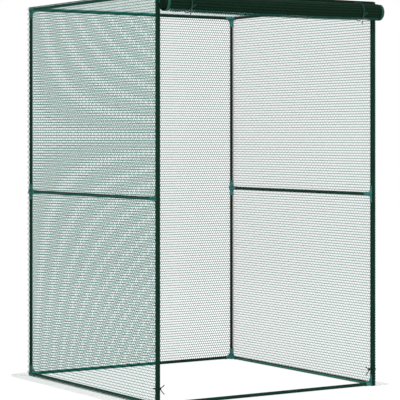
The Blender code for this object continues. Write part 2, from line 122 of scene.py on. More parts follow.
class NodeBoard:
    """The nodes of a material or a world, laid out by short calls."""

    def __init__(self, name: str, world: bool = False) -> None:
        """Start a material or a world.

        Args:
            name: Its name.
            world: Whether it is a world.
        """
        self.owner = (bpy.data.worlds if world else bpy.data.materials).new(name)
        self.owner.use_nodes = True
        self.nodes = self.owner.node_tree.nodes

    def feed(self, socket: NodeSocket, value: object) -> None:
        """Give a socket a value, or join another node's socket to it.

        Args:
            socket: The socket to feed.
            value: A number, a colour or an output socket.
        """
        if isinstance(value, NodeSocket):
            self.owner.node_tree.links.new(value, socket)
        else:
            socket.default_value = (*value, 1.0) if socket.type == "RGBA" else value

    def node(self, kind: str, values: dict[str | int, object], **settings: object) -> Node:
        """Add a node.

        Args:
            kind: The node's type, without the ShaderNode that it starts with.
            values: Numbers, colours or sockets of other nodes for its sockets.
            settings: Its own settings.

        Returns:
            The node.
        """
        made = self.nodes.new("ShaderNode" + kind)
        for setting, value in settings.items():
            setattr(made, setting, value)
        for socket, value in values.items():
            self.feed(made.inputs[socket], value)
        return made

    def noise(self, scale: float, detail: float = 2.0, stretch: Point = (1.0, 1.0, 1.0),
              source: str = "Object") -> NodeSocket:
        """Add a noise on the piece's own coordinates.

        Args:
            scale: Waves in a metre.
            detail: Levels of finer noise.
            stretch: How the coordinates are scaled first.
            source: The texture coordinate to read.

        Returns:
            The noise's strength, from 0 to 1.
        """
        place = self.node("TexCoord", {}).outputs[source]
        mapped = self.node("Mapping", {"Vector": place, "Scale": stretch}).outputs[0]
        values = {"Vector": mapped, "Scale": scale, "Detail": detail}
        return self.node("TexNoise", values).outputs[0]

    def wave(self, direction: str, scale: float, distortion: float = 0.0,
             turn: float = 0.0) -> NodeSocket:
        """Add bands on the piece's own map.

        Args:
            direction: X or Y, across the bands.
            scale: How close they lie.
            distortion: How uneven they are.
            turn: How far the map is turned first.

        Returns:
            The bands' strength, from 0 to 1.
        """
        place = self.node("TexCoord", {}).outputs["UV"]
        turned = self.node("Mapping", {"Vector": place, "Rotation": (0.0, 0.0, turn)}).outputs[0]
        values = {"Vector": turned, "Scale": scale, "Distortion": distortion, "Detail": 1.0}
        return self.node("TexWave", values, bands_direction=direction).outputs[1]

    def ramp(self, strength: NodeSocket, low: float, high: float, start: float = 0.0,
             end: float = 1.0) -> NodeSocket:
        """Stretch a part of a strength's range to a new one, with soft ends.

        Args:
            strength: What to stretch.
            low: Where the range starts.
            high: Where it ends.
            start: The new start.
            end: The new end.

        Returns:
            The new strength.
        """
        values = {0: strength, 1: low, 2: high, 3: start, 4: end}
        return self.node("MapRange", values, interpolation_type="SMOOTHSTEP").outputs[0]

    def join(self, operation: str, first: object, second: object) -> NodeSocket:
        """Two strengths or numbers joined by an operation of the Math node."""
        return self.node("Math", {0: first, 1: second}, operation=operation).outputs[0]

    def seen(self) -> NodeSocket:
        """1 for what the camera or a gloss sees directly, and 0 for the light on the pieces."""
        path = self.node("LightPath", {}).outputs
        return self.join("MAXIMUM", path["Is Camera Ray"], path["Is Glossy Ray"])

    def blend(self, share: NodeSocket, first: object, second: object) -> NodeSocket:
        """A colour between two colours, with a share of the second."""
        return self.node("Mix", {0: share, 6: first, 7: second}, data_type="RGBA").outputs[2]

    def bump(self, height: NodeSocket, depth: float, strength: float) -> NodeSocket:
        """The normal bumped by a height of a depth in metres, as strongly as the strength says."""
        values = {"Height": height, "Distance": depth, "Strength": strength}
        return self.node("Bump", values).outputs["Normal"]

    def finish(self, colour: object, roughness: object, normal: NodeSocket | None = None,
               specular: float = 0.5) -> Material:
        """Feed the main shader.

        Args:
            colour: Base colour.
            roughness: Roughness.
            normal: Bumped normal, if any.
            specular: Specular level.

        Returns:
            The material.
        """
        sockets = self.nodes["Principled BSDF"].inputs
        self.feed(sockets["Base Color"], colour)
        self.feed(sockets["Roughness"], roughness)
        sockets["Specular IOR Level"].default_value = specular
        if normal is not None:
            self.feed(sockets["Normal"], normal)
        return self.owner


@dataclass(frozen=True)
class Finish:
    """A finish, whose material is made at its first use."""

    name: str
    colour: Colour
    pale: Colour

    def material(self) -> Material:
        """The finish's material."""
        return bpy.data.materials.get(self.name) or self.make()

    def make(self) -> Material:
        """Make the material."""
        raise NotImplementedError


@dataclass(frozen=True)
class PowderCoat(Finish):
    """Dark green powder coat on steel: a fine orange peel, faint cloudiness, a few pale scuffs."""

    scuff: Colour = (0.018, 0.058, 0.042)

    def make(self) -> Material:
        """Make the material.

        Returns:
            The material.
        """
        board = NodeBoard(self.name)
        clouds = board.ramp(board.noise(14.0, 3.0), 0.35, 0.75)
        coat = board.blend(clouds, self.colour, self.pale)
        rubs = board.ramp(board.noise(60.0, 5.0, (1.0, 1.0, 0.25)), 0.69, 0.76, 0.0, 0.55)
        coat = board.blend(rubs, coat, self.scuff)
        peel = board.bump(board.noise(900.0, 1.0), 0.00004, 0.6)
        gloss = board.ramp(board.noise(40.0, 3.0), 0.3, 0.7, 0.36, 0.50)
        return board.finish(coat, gloss, peel, 0.06)


@dataclass(frozen=True)
class MouldedPlastic(Finish):
    """Teal polypropylene from a spark-eroded mould: fine grain, faint flow marks, dulled edges."""

    dust: Colour = (0.060, 0.230, 0.210)

    def make(self) -> Material:
        """Make the material.

        Returns:
            The material.
        """
        board = NodeBoard(self.name)
        flow = board.ramp(board.noise(22.0, 3.0, (1.0, 1.0, 2.2)), 0.32, 0.72)
        body = board.blend(flow, self.colour, self.pale)
        rubs = board.ramp(board.noise(190.0, 6.0), 0.66, 0.74, 0.0, 0.5)
        body = board.blend(rubs, body, self.dust)
        grain = board.bump(board.noise(1500.0, 2.0), 0.00003, 0.5)
        gloss = board.ramp(board.noise(70.0, 3.0), 0.3, 0.7, 0.38, 0.52)
        return board.finish(body, gloss, grain, 0.35)


@dataclass(frozen=True)
class NetYarn(Finish):
    """Knitted polythene strands: slightly waxy, their colour uneven from strand to strand."""

    def make(self) -> Material:
        """Make the material.

        Returns:
            The material.
        """
        board = NodeBoard(self.name)
        uneven = board.ramp(board.noise(160.0, 3.0), 0.3, 0.7)
        twist = board.bump(board.noise(2600.0, 1.0, (1.0, 1.0, 0.4)), 0.0001, 0.5)
        return board.finish(board.blend(uneven, self.colour, self.pale), 0.75, twist, 0.12)


@dataclass(frozen=True)
class HemTape(Finish):
    """Woven tape, with ribs across its length on the piece's own map."""

    rib_scale: Pair = (1100.0 / tau / 3.2, 1100.0 / tau / 2.0)  # along the tape and across it

    def make(self) -> Material:
        """Make the material.

        Returns:
            The material.
        """
        board = NodeBoard(self.name)
        along, across = (board.wave(way, scale, 0.6) for way, scale in zip("YX", self.rib_scale))
        weave = board.join("MULTIPLY", along, across)
        patches = board.ramp(board.noise(30.0, 4.0), 0.3, 0.75, 0.0, 0.6)
        tape = board.blend(patches, board.blend(weave, self.colour, self.pale), self.pale)
        return board.finish(tape, 0.85, board.bump(weave, 0.0002, 0.8), 0.10)


@dataclass(frozen=True)
class WoundNet(Finish):
    """The rolled netting as one sheet, with painted shade: dark for the shade between its wound
    layers, with paler streaks of painted light along the roll.
    """

    def make(self) -> Material:
        """Make the material.

        Returns:
            The material.
        """
        board = NodeBoard(self.name)
        streaks = board.ramp(board.noise(1.0, 3.0, (9.0, 260.0, 1.0), "UV"), 0.40, 0.72)
        strands = board.noise(1.0, 2.0, (160.0, 160.0, 1.0), "UV")
        strands = board.ramp(strands, 0.45, 0.70, 0.0, 0.45)
        lit = board.join("MAXIMUM", streaks, strands)
        cloth = board.blend(lit, self.colour, self.pale)
        return board.finish(cloth, 0.9, board.bump(lit, 0.0008, 0.7), 0.05)


@dataclass(frozen=True)
class TieCord(Finish):
    """Plaited cord, its plait drawn on the map that runs round and along it."""

    plait_turn: float = 0.8
    plait_scale: float = 130.0

    def make(self) -> Material:
        """Make the material.

        Returns:
            The material.
        """
        board = NodeBoard(self.name)
        plait = board.join("MULTIPLY", *(board.wave("X", self.plait_scale, turn=turn)
                                         for turn in (self.plait_turn, -self.plait_turn)))
        fuzz = board.ramp(board.noise(500.0, 3.0), 0.35, 0.7)
        cord = board.blend(fuzz, board.blend(plait, self.colour, self.pale), self.colour)
        return board.finish(cord, 0.75, board.bump(plait, 0.0003, 0.8), 0.25)


STEEL_COAT = PowderCoat("green_powder_coat_looks", (0.0012, 0.0235, 0.0130),
                        (0.0028, 0.0380, 0.0220))
TEAL_MOULDING = MouldedPlastic("teal_moulded_plastic_looks", (0.0120, 0.1250, 0.1130),
                               (0.0230, 0.1800, 0.1640))
NET_YARN = NetYarn("green_net_yarn_looks", (0.0030, 0.1800, 0.1300), (0.0060, 0.2500, 0.1900))
# Painted shade, deep: the net yarn of the loose turns where they cover the roll.
PAINTED_ROLL_SHADE_YARN = NetYarn("green_wound_yarn_looks", (0.0024, 0.0165, 0.0078), (0.0056, 0.0340, 0.0170))
# Painted shade, lighter: the net yarn on the side walls' top rails, and where the roll's loose
# netting hangs below it.
PAINTED_HALF_SHADE_YARN = NetYarn("green_hanging_yarn_looks", (0.0030, 0.0600, 0.0400),
                       (0.0070, 0.1000, 0.0700))
# Painted shade: the net yarn darkened where it lies on the tubes, along the sewn edges and before
# the posts.
PAINTED_SHADE_YARN = NetYarn("green_seam_yarn_looks", (0.0020, 0.0160, 0.0090), (0.0060, 0.0420, 0.0260))
# Painted light: the net yarn made paler where the hem wraps under the bottom rail, for the white
# floor's light.
FLOOR_LIT_HEM_YARN = NetYarn("green_hem_yarn_looks", (0.0500, 0.2300, 0.1650), (0.0900, 0.3100, 0.2300))
# Painted light: the net yarn made far paler where the flaps lie on the bright floor, outweighing
# their contact shadows.
FLOOR_LIT_SKIRT_YARN = NetYarn("green_skirt_yarn_looks", (0.3000, 0.4600, 0.4000), (0.4200, 0.5800, 0.5200))
DOOR_TAPE = HemTape("green_hem_tape_looks", (0.0017, 0.0115, 0.0060), (0.0048, 0.0265, 0.0145))
# Painted highlight: the hem tape made paler at the roll's ends, where their edge catches the light.
HIGHLIT_RIM_TAPE = HemTape("green_rim_tape_looks", (0.0090, 0.0500, 0.0320), (0.0240, 0.1020, 0.0700))
# Painted shade: the roll's sheet is dark for the shade between its wound layers, with painted light
# in its paler streaks.
ROLL_LAYERS = WoundNet("green_wound_net_looks", (0.0016, 0.0085, 0.0038), (0.0090, 0.0300, 0.0165))
GREEN_TIE = TieCord("green_tie_cord_looks", (0.008, 0.050, 0.036), (0.036, 0.125, 0.095))
BLACK_TIE = TieCord("black_tie_cord_looks", (0.001, 0.006, 0.004), (0.008, 0.022, 0.016))


# ---------------------------------------------------------------- modelling helpers


class Bench:
    """Blender's own tools, each used on one object at a time."""

    @staticmethod
    def hold(item: Object) -> None:
        """Make one object the only one selected.

        Args:
            item: The object.
        """
        bpy.ops.object.select_all(action="DESELECT")
        item.select_set(True)
        bpy.context.view_layer.objects.active = item

    @staticmethod
    def add(primitive: Callable[..., set[str]], name: str, **settings: object) -> Object:
        """Add a primitive, and make it the only one selected.

        Args:
            primitive: The operator that adds it.
            name: The object's name.
            settings: The operator's settings.

        Returns:
            The object.
        """
        bpy.ops.object.select_all(action="DESELECT")
        primitive(**settings)
        item = bpy.context.object
        item.name = item.data.name = name
        Bench.hold(item)
        return item

    @staticmethod
    def pick(item: Object, kind: str, test: Callable[[Vector], bool]) -> None:
        """Open an object in edit mode with the parts selected whose middle passes a test.

        Args:
            item: The object.
            kind: VERT, EDGE or FACE.
            test: Says whether a part's middle is wanted.
        """
        Bench.hold(item)
        bpy.ops.object.mode_set(mode="EDIT")
        bpy.ops.mesh.select_mode(type=kind)
        bpy.ops.mesh.select_all(action="DESELECT")
        form = bmesh.from_edit_mesh(item.data)
        for part in {"VERT": form.verts, "EDGE": form.edges, "FACE": form.faces}[kind]:
            corners = [part.co] if kind == "VERT" else [corner.co for corner in part.verts]
            if test(sum(corners, Vector()) / len(corners)):
                part.select_set(True)
        form.select_flush_mode()
        bmesh.update_edit_mesh(item.data)

    @staticmethod
    def draw_out(length: float, scale: float | None = None) -> None:
        """Extrude what is selected along Z, and scale its end across Z.

        Args:
            length: How far it is extruded.
            scale: How much wider its end is, if it changes.
        """
        bpy.ops.mesh.extrude_region_move(TRANSFORM_OT_translate={"value": (0.0, 0.0, length)})
        if scale is not None:
            bpy.ops.transform.resize(value=(scale, scale, 1.0))

    @staticmethod
    def close() -> None:
        """Leave edit mode."""
        bpy.ops.object.mode_set(mode="OBJECT")

    @staticmethod
    def modify(item: Object, kind: str, **settings: object) -> None:
        """Add a modifier and apply it.

        Args:
            item: The object.
            kind: The modifier's type.
            settings: Its settings.
        """
        Bench.hold(item)
        step = item.modifiers.new(kind.title(), kind)
        for name, value in settings.items():
            setattr(step, name, value)
        bpy.ops.object.modifier_apply(modifier=step.name)

    @staticmethod
    def combine(base: Object, tool: Object, operation: str) -> None:
        """Join a solid to another by UNION or cut it away by DIFFERENCE, and remove it."""
        Bench.modify(base, "BOOLEAN", operation=operation, object=tool, solver="EXACT")
        Bench.discard(tool)

    @staticmethod
    def show(data: bpy.types.ID) -> Object:
        """Show a mesh, a lamp or a camera as an object of the same name.

        Args:
            data: The mesh, lamp or camera.

        Returns:
            The object.
        """
        item = bpy.data.objects.new(data.name, data)
        bpy.context.scene.collection.objects.link(item)
        return item

    @staticmethod
    def copy(item: Object, name: str, place: Matrix) -> Object:
        """Copy an object with its own mesh, its place in its mesh.

        Args:
            item: The object to copy.
            name: The copy's name.
            place: Where the copy goes.

        Returns:
            The copy.
        """
        mesh = item.data.copy()
        mesh.name = name
        mesh.transform(place)
        return Bench.show(mesh)

    @staticmethod
    def discard(*items: Object) -> None:
        """Remove objects that only served to make others."""
        for item in items:
            bpy.data.objects.remove(item, do_unlink=True)


def dress(item: Object, finish: Finish, slot: Slot, nodes: Sequence[str] = (),
          body: Body | None = Body.CAGE) -> Object:
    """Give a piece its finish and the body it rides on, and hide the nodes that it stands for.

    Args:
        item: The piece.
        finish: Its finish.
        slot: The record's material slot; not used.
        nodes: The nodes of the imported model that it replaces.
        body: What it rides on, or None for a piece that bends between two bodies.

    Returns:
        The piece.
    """
    item.data.materials.clear()
    item.data.materials.append(finish.material())
    if body is not None:
        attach(item, body.value)
    if nodes:
        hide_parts(*nodes)
    return item


def points(*parts: object) -> np.ndarray:
    """Points from their coordinates, each spread to the shape of all."""
    return np.stack(np.broadcast_arrays(*parts), axis=-1)


def travelled(path: np.ndarray) -> np.ndarray:
    """How far along a path each of its points lies."""
    return np.concatenate([[0.0], np.cumsum(np.linalg.norm(np.diff(path, axis=0), axis=1))])


def middles(item: Object) -> np.ndarray:
    """Read where the middles of a piece's faces lie.

    Args:
        item: The piece.

    Returns:
        Three rows: X, Y and Z.
    """
    spots = np.empty(3 * len(item.data.polygons), dtype=np.float32)
    item.data.polygons.foreach_get("center", spots)
    return spots.reshape(-1, 3).T


def mesh_object(name: str, corners: np.ndarray, groups: Sequence[np.ndarray],
                chart: np.ndarray | None = None) -> Object:
    """Make a smooth object from numbers.

    Args:
        name: The object's name.
        corners: Rows of X, Y and Z.
        groups: Faces as rows of corner numbers, those of one length in a group.
        chart: Where each face's corners lie on the map, in metres.

    Returns:
        The object.
    """
    sizes = np.concatenate([np.full(len(group), group.shape[1]) for group in groups])
    loops = np.concatenate([group.ravel() for group in groups])
    mesh = bpy.data.meshes.new(name)
    mesh.vertices.add(len(corners))
    mesh.vertices.foreach_set("co", corners.astype(np.float32).ravel())
    mesh.loops.add(len(loops))
    mesh.loops.foreach_set("vertex_index", loops.astype(np.int32))
    mesh.polygons.add(len(sizes))
    mesh.polygons.foreach_set("loop_start", (np.cumsum(sizes) - sizes).astype(np.int32))
    mesh.update(calc_edges=True)
    if chart is not None:
        layer = mesh.uv_layers.new(name="cut")
        layer.data.foreach_set("uv", chart.astype(np.float32).ravel())
    mesh.shade_smooth()
    return Bench.show(mesh)


# ---------------------------------------------------------------- layout and studio


@dataclass(frozen=True)
class Layout:
    """Where the frame's axes and faces lie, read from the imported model."""

    post_x: float
    front_y: float
    back_y: float
    low_z: float
    mid_z: float
    high_z: float
    tube_radius: float
    socket_radius: float
    net_inside: float  # from the post axes, as the next one
    net_outside: float

    @classmethod
    def from_frame(cls) -> "Layout":
        """Read the layout from the nodes' boxes.

        Returns:
            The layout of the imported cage.
        """
        def middle(node: str, axis: int) -> float:
            """The middle of a node's box along X, Y or Z."""
            low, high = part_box(node)
            return (low[axis] + high[axis]) / 2

        low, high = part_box("post_lower_front_right")
        hub_low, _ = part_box("corner_socket_bottom_front_right")
        net_low, net_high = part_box("net_right")
        post_x, low_z = middle("post_lower_front_right", 0), middle("bottom_rail_front", 2)
        return cls(
            post_x=post_x,
            front_y=middle("post_lower_front_right", 1),
            back_y=middle("post_lower_back_right", 1),
            low_z=low_z,
            mid_z=middle("middle_rail_right", 2),
            high_z=middle("top_rail_front", 2),
            tube_radius=(high.x - low.x) / 2,
            socket_radius=low_z - hub_low.z,
            net_inside=net_low.x - post_x,
            net_outside=net_high.x - post_x,
        )

    @property
    def net_middle(self) -> float:
        """Distance of a net's middle from the post axes."""
        return (self.net_inside + self.net_outside) / 2


@dataclass(frozen=True)
class Studio:
    """Camera, soft light and pale floor."""

    lens: float = 157.6
    horizon_rise: float = 63.45  # pixels that the horizon lies above the picture's middle
    picture_size: float = 400.0
    view_end: float = 90.0
    eye: Point = (-4.6330, -7.1901, 1.1915)
    turn: float = 0.57365
    lit_spot: Point = (0.0, 0.0, 0.9)
    lamp_size: float = 3.0
    lamps: tuple[tuple[str, Point, float], ...] = (  # name, place and watts
        ("key", (-4.6, -3.6, 4.0), 210.0), ("fill", (4.0, -3.8, 3.0), 80.0),
        ("rim", (1.5, 4.6, 4.0), 80.0))
    world_fill: float = 0.55
    floor_size: float = 60.0
    floor_colour: Colour = (0.93, 0.93, 0.93)
    floor_roughness: float = 0.9
    floor_glow: float = 1.06
    glow_share: float = 0.88

    def add_camera(self) -> None:
        """Add a level camera, shifted down to the photographed framing, and make it the scene's."""
        data = bpy.data.cameras.new("camera")
        data.lens = self.lens
        data.shift_y = -self.horizon_rise / self.picture_size
        data.clip_end = self.view_end
        camera = Bench.show(data)
        camera.location = self.eye
        camera.rotation_euler = (pi / 2, 0.0, -self.turn)
        bpy.context.scene.camera = camera

    def add_lamps(self) -> None:
        """Add the soft square lamps that face the cage."""
        for name, place, power in self.lamps:
            data = bpy.data.lights.new(name, "AREA")
            data.size = self.lamp_size
            data.energy = power
            lamp = Bench.show(data)
            lamp.location = place
            aim = Vector(self.lit_spot) - Vector(place)
            lamp.rotation_euler = aim.to_track_quat("-Z", "Y").to_euler()

    def add_world(self) -> None:
        """Give the world a soft grey fill that the camera and gloss see as white."""
        board = NodeBoard("studio", world=True)
        board.nodes.clear()
        fill, white = (board.node("Background", {"Color": WHITE, "Strength": strength}).outputs[0]
                       for strength in (self.world_fill, 1.0))
        mix = board.node("MixShader", {0: board.seen(), 1: fill, 2: white})
        board.node("OutputWorld", {"Surface": mix.outputs[0]})
        bpy.context.scene.world = board.owner

    def add_floor(self) -> None:
        """Add a plain white floor that keeps a light shadow."""
        ground = Bench.add(bpy.ops.mesh.primitive_plane_add, "floor", size=self.floor_size)
        board = NodeBoard("floor_white")
        board.finish(self.floor_colour, self.floor_roughness)
        share = board.join("MULTIPLY", board.seen(), self.glow_share)
        plain = board.nodes["Principled BSDF"].outputs[0]
        glow = board.node("Emission", {"Color": WHITE, "Strength": self.floor_glow}).outputs[0]
        both = board.node("MixShader", {0: share, 1: plain, 2: glow}).outputs[0]
        board.feed(board.nodes["Material Output"].inputs["Surface"], both)
        ground.data.materials.append(board.owner)

    def build(self) -> None:
        """Add all of the studio."""
        bpy.context.scene.view_settings.view_transform = "Standard"
        self.add_camera()
        self.add_world()
        self.add_floor()
        self.add_lamps()


# ---------------------------------------------------------------- netting


@dataclass(frozen=True)
class Plane:
    """A panel's own axes: across, up and out of it, from an origin."""

    origin: Point
    across: Point = (1, 0, 0)
    up: Point = (0, 0, 1)

    def __call__(self, spots: np.ndarray) -> np.ndarray:
        """Turn rows of across, up and out distances into places in the cage."""
        axes = np.array([self.across, self.up, np.cross(self.across, self.up)], dtype=float)
        return np.array(self.origin, dtype=float) + spots @ axes


@dataclass(frozen=True)
class Yarn:
    """The knitted strands of the netting."""

    pitch: float = 0.01272  # from one gap to the next, along a row and from row to row
    rise: float = 0.0037  # how far a row's zigzag climbs
    width: float = 0.0028
    link_width: float = 0.0020  # of the short strands between the rows
    thickness: float = 0.0011
    border_width: float = 0.0024
    border_thickness: float = 0.0014
    loop_width: float = 0.0030
    tooth_width: float = 0.0044


class StrandMesh:
    """Collects closed strands as rings of corners and the faces between them."""

    def __init__(self) -> None:
        """Start with no strand."""
        self.corners: list[np.ndarray] = []
        self.faces: list[np.ndarray] = []
        self.seams: list[np.ndarray] = []
        self.count = 0

    def add(self, rings: np.ndarray, seam: bool = False) -> None:
        """Add strands that have the same number of rings, with a cap at each end.

        Args:
            rings: Corners as strand, ring, corner of the ring, and coordinate. Seen from the
                strand's end, looking back to its start, the corners run anticlockwise.
            seam: Whether they are the yarn of a seam.
        """
        strands, stations, sides, _ = rings.shape
        index = self.count + np.arange(strands * stations * sides).reshape(strands, stations, sides)
        after = np.roll(index, -1, axis=2)
        walls = np.stack([index[:, :-1], after[:, :-1], after[:, 1:], index[:, 1:]], axis=-1)
        self.faces.append(walls.reshape(-1, 4))
        self.faces.append(np.concatenate([index[:, 0, ::-1], index[:, -1]]))
        self.seams.append(np.full(walls.size // 4 + 2 * strands, seam))
        self.corners.append(rings.reshape(-1, 3))
        self.count += strands * stations * sides

    def object(self, name: str, place: Placer, flipped: bool = False) -> Object:
        """Make an object of all the strands.

        Args:
            name: The object's name.
            place: Turns the strands' own coordinates into places in the cage.
            flipped: Whether that turns their faces inwards, so that they are turned back.

        Returns:
            The object.
        """
        faces = [group[:, ::-1] for group in self.faces] if flipped else self.faces
        return mesh_object(name, place(np.concatenate(self.corners)), faces)


def section(width: float, thickness: float, sides: int = 4) -> np.ndarray:
    """Corners of a flat strand's section, anticlockwise from its side.

    Args:
        width: Its width in the panel.
        thickness: Its thickness out of the panel.
        sides: How many corners it has.

    Returns:
        Rows of sideways and outward distances.
    """
    turns = np.arange(sides) * tau / sides
    return points(np.cos(turns) * width / 2, np.sin(turns) * thickness / 2)


def ringed(across: object, up: object, out: object, outline: np.ndarray,
           level: bool = False) -> np.ndarray:
    """Rings of strands round the places of their middles, given by strand and station.

    Args:
        across: Places across the panel.
        up: Places up the panel.
        out: Places out of the panel.
        outline: The section's corners.
        level: Whether the strands run across the panel and not up it.

    Returns:
        Rings for StrandMesh.add.
    """
    middle = np.broadcast_arrays(np.atleast_2d(across), up, out)
    across, up, out = (part[..., None] for part in middle)
    sideways = outline[:, 0]
    if level:
        return points(across, up + sideways, out + outline[:, 1])
    return points(across - sideways, up, out + outline[:, 1])


@dataclass
class NetField:
    """A rectangle of hexagonal netting in a panel's own plane."""

    low: Pair
    high: Pair
    gap: Pair = (0.0, 0.0)  # the middle of one gap, which sets where rows and columns fall
    yarn: Yarn = Yarn()
    borders: str = "LRBT"  # the sides with a border strand: left, right, bottom, top
    joined: bool = False  # whether its lowest row hangs on to the row of another field below it
    frills: Pair = (0.0, 0.0)  # how far the sewn edge stands out along its left and right sides
    border_step: float = 0.05
    tooth_swing: float = 0.6  # share of the frill to each side of the panel
    loop_steps: int = 8
    loop_part: float = 0.4  # of an arch's height, left out so that the loops stand apart
    strands: StrandMesh = field(default_factory=StrandMesh)

    def rows(self) -> np.ndarray:
        """Number the zigzag rows; row n lies half a pitch under the gaps of row n.

        Returns:
            The rows' numbers.
        """
        pitch, rise = self.yarn.pitch, self.yarn.rise
        first = ceil((self.low[1] + rise - self.gap[1]) / pitch + 0.5)
        last = floor((self.high[1] - rise - self.gap[1]) / pitch + 0.5)
        return np.arange(first, last + 1)

    def zigzags(self) -> None:
        """Add the rows that run across the field."""
        yarn, numbers = self.yarn, self.rows()
        half = yarn.pitch / 2
        margin = half / 20
        first = ceil((self.low[0] + margin - self.gap[0]) / half)
        last = floor((self.high[0] - margin - self.gap[0]) / half)
        bends = np.arange(first - 1, last + 2)
        across = self.gap[0] + bends * half
        swings = np.where(bends % 2 == 0, -1.0, 1.0)
        ends = np.interp([self.low[0], self.high[0]], across, swings)
        across = np.concatenate([[self.low[0]], across[1:-1], [self.high[0]]])
        swings = np.concatenate([ends[:1], swings[1:-1], ends[1:]])
        turned = np.where(numbers % 2 == 0, 1.0, -1.0)[:, None]
        level = (self.gap[1] + (numbers - 0.5) * yarn.pitch)[:, None]
        level = level + turned * swings * yarn.rise / 2
        outline = section(yarn.width / cos(atan2(yarn.rise, half)), yarn.thickness)
        self.strands.add(ringed(across, level, 0.0, outline, True))

    def connectors(self) -> None:
        """Add the short strands that join row to row, and the outer rows to the borders."""
        yarn, numbers = self.yarn, self.rows()
        outline = section(yarn.link_width, yarn.thickness, 3)
        levels = self.gap[1] + (numbers - 0.5) * yarn.pitch
        under = levels[0] - yarn.pitch + yarn.rise / 2 if self.joined else self.low[1]
        spans = points(np.concatenate([[under], levels + yarn.rise / 2]),
                       np.concatenate([levels - yarn.rise / 2, [self.high[1]]]))
        keep = np.ones(len(spans), dtype=bool)
        keep[0] = self.joined or "B" in self.borders
        keep[-1] = "T" in self.borders
        below = np.concatenate([[numbers[0] - 1], numbers])
        for parity, shift in enumerate((yarn.pitch / 2, 0.0)):
            first = ceil((self.low[0] + yarn.width - self.gap[0] - shift) / yarn.pitch)
            last = floor((self.high[0] - yarn.width - self.gap[0] - shift) / yarn.pitch)
            across = self.gap[0] + shift + np.arange(first, last + 1) * yarn.pitch
            chosen = spans[keep & (below % 2 == parity)]
            self.strands.add(ringed(np.tile(across, len(chosen))[:, None],
                                    np.repeat(chosen, len(across), axis=0), 0.0, outline))

    def edging(self) -> None:
        """Add the thicker strands along the field's sides."""
        outline = section(self.yarn.border_width, self.yarn.border_thickness, 6)
        across, up = (np.linspace(low, high, ceil((high - low) / self.border_step) + 1)
                      for low, high in zip(self.low, self.high))
        corners = dict(zip("LBRT", (*self.low, *self.high)))
        sides, ends = (np.array([[corners[letter]] for letter in pair if letter in self.borders])
                       for pair in ("LR", "BT"))
        if len(sides):
            self.strands.add(ringed(sides, up, 0.0, outline), any(self.frills))
        if len(ends):
            self.strands.add(ringed(across, ends, 0.0, outline, True))

    def teeth(self) -> None:
        """Add the zigzag strand that stands out of the panel where its left side is sewn on."""
        up = np.arange(self.low[1], self.high[1], self.yarn.pitch / 2)
        swing = np.where(np.arange(len(up)) % 2 == 0, -self.tooth_swing, self.tooth_swing)
        outline = section(self.yarn.width, self.yarn.tooth_width)
        self.strands.add(ringed(self.low[0], up, swing * self.frills[0], outline), True)

    def loops(self) -> None:
        """Add the loops, two rows tall, that stand askew out of the right side."""
        height = 2 * self.yarn.pitch
        step = height / self.loop_steps
        first = ceil((self.low[1] - self.gap[1]) / step)
        last = floor((self.high[1] - self.gap[1]) / step)
        turns = np.arange(first, last + 1) / self.loop_steps
        arch = np.clip(np.abs(np.sin(turns * pi)) - self.loop_part, 0.0, None)
        out = self.frills[1] * np.sqrt(arch / (1 - self.loop_part))
        outline = section(self.yarn.loop_width, self.yarn.loop_width)
        self.strands.add(ringed(self.high[0] + np.abs(out), self.gap[1] + turns * height, out,
                                outline), True)

    def object(self, name: str, place: Placer, flipped: bool = False) -> Object:
        """Make the netting.

        Args:
            name: The object's name.
            place: Turns panel coordinates into places in the cage.
            flipped: Whether that turns its faces inwards, so that they are turned back.

        Returns:
            The object.
        """
        self.zigzags()
        self.connectors()
        self.edging()
        if any(self.frills):
            self.teeth()
            self.loops()
        item = self.strands.object(name, place, flipped)
        LOG.info("%s: %d faces", name, len(item.data.polygons))
        return item


BORDER_INSET = 0.0016  # of a field's border strand from the edge of its solid
NET_COVER = 0.40  # the strands' share of a net's area, knots and gaps counted


def declare_net(item: Object,
                cover: float = NET_COVER, pieces: Sequence[Object] = ()) -> None:
    """Gather a net's separate pieces into a list, and do nothing more with the net.

    Args:
        item: The netting; not used.
        cover: The strands' share of its area, most of a net being gaps; not used.
        pieces: Separate pieces on it.
    """
    list(pieces)


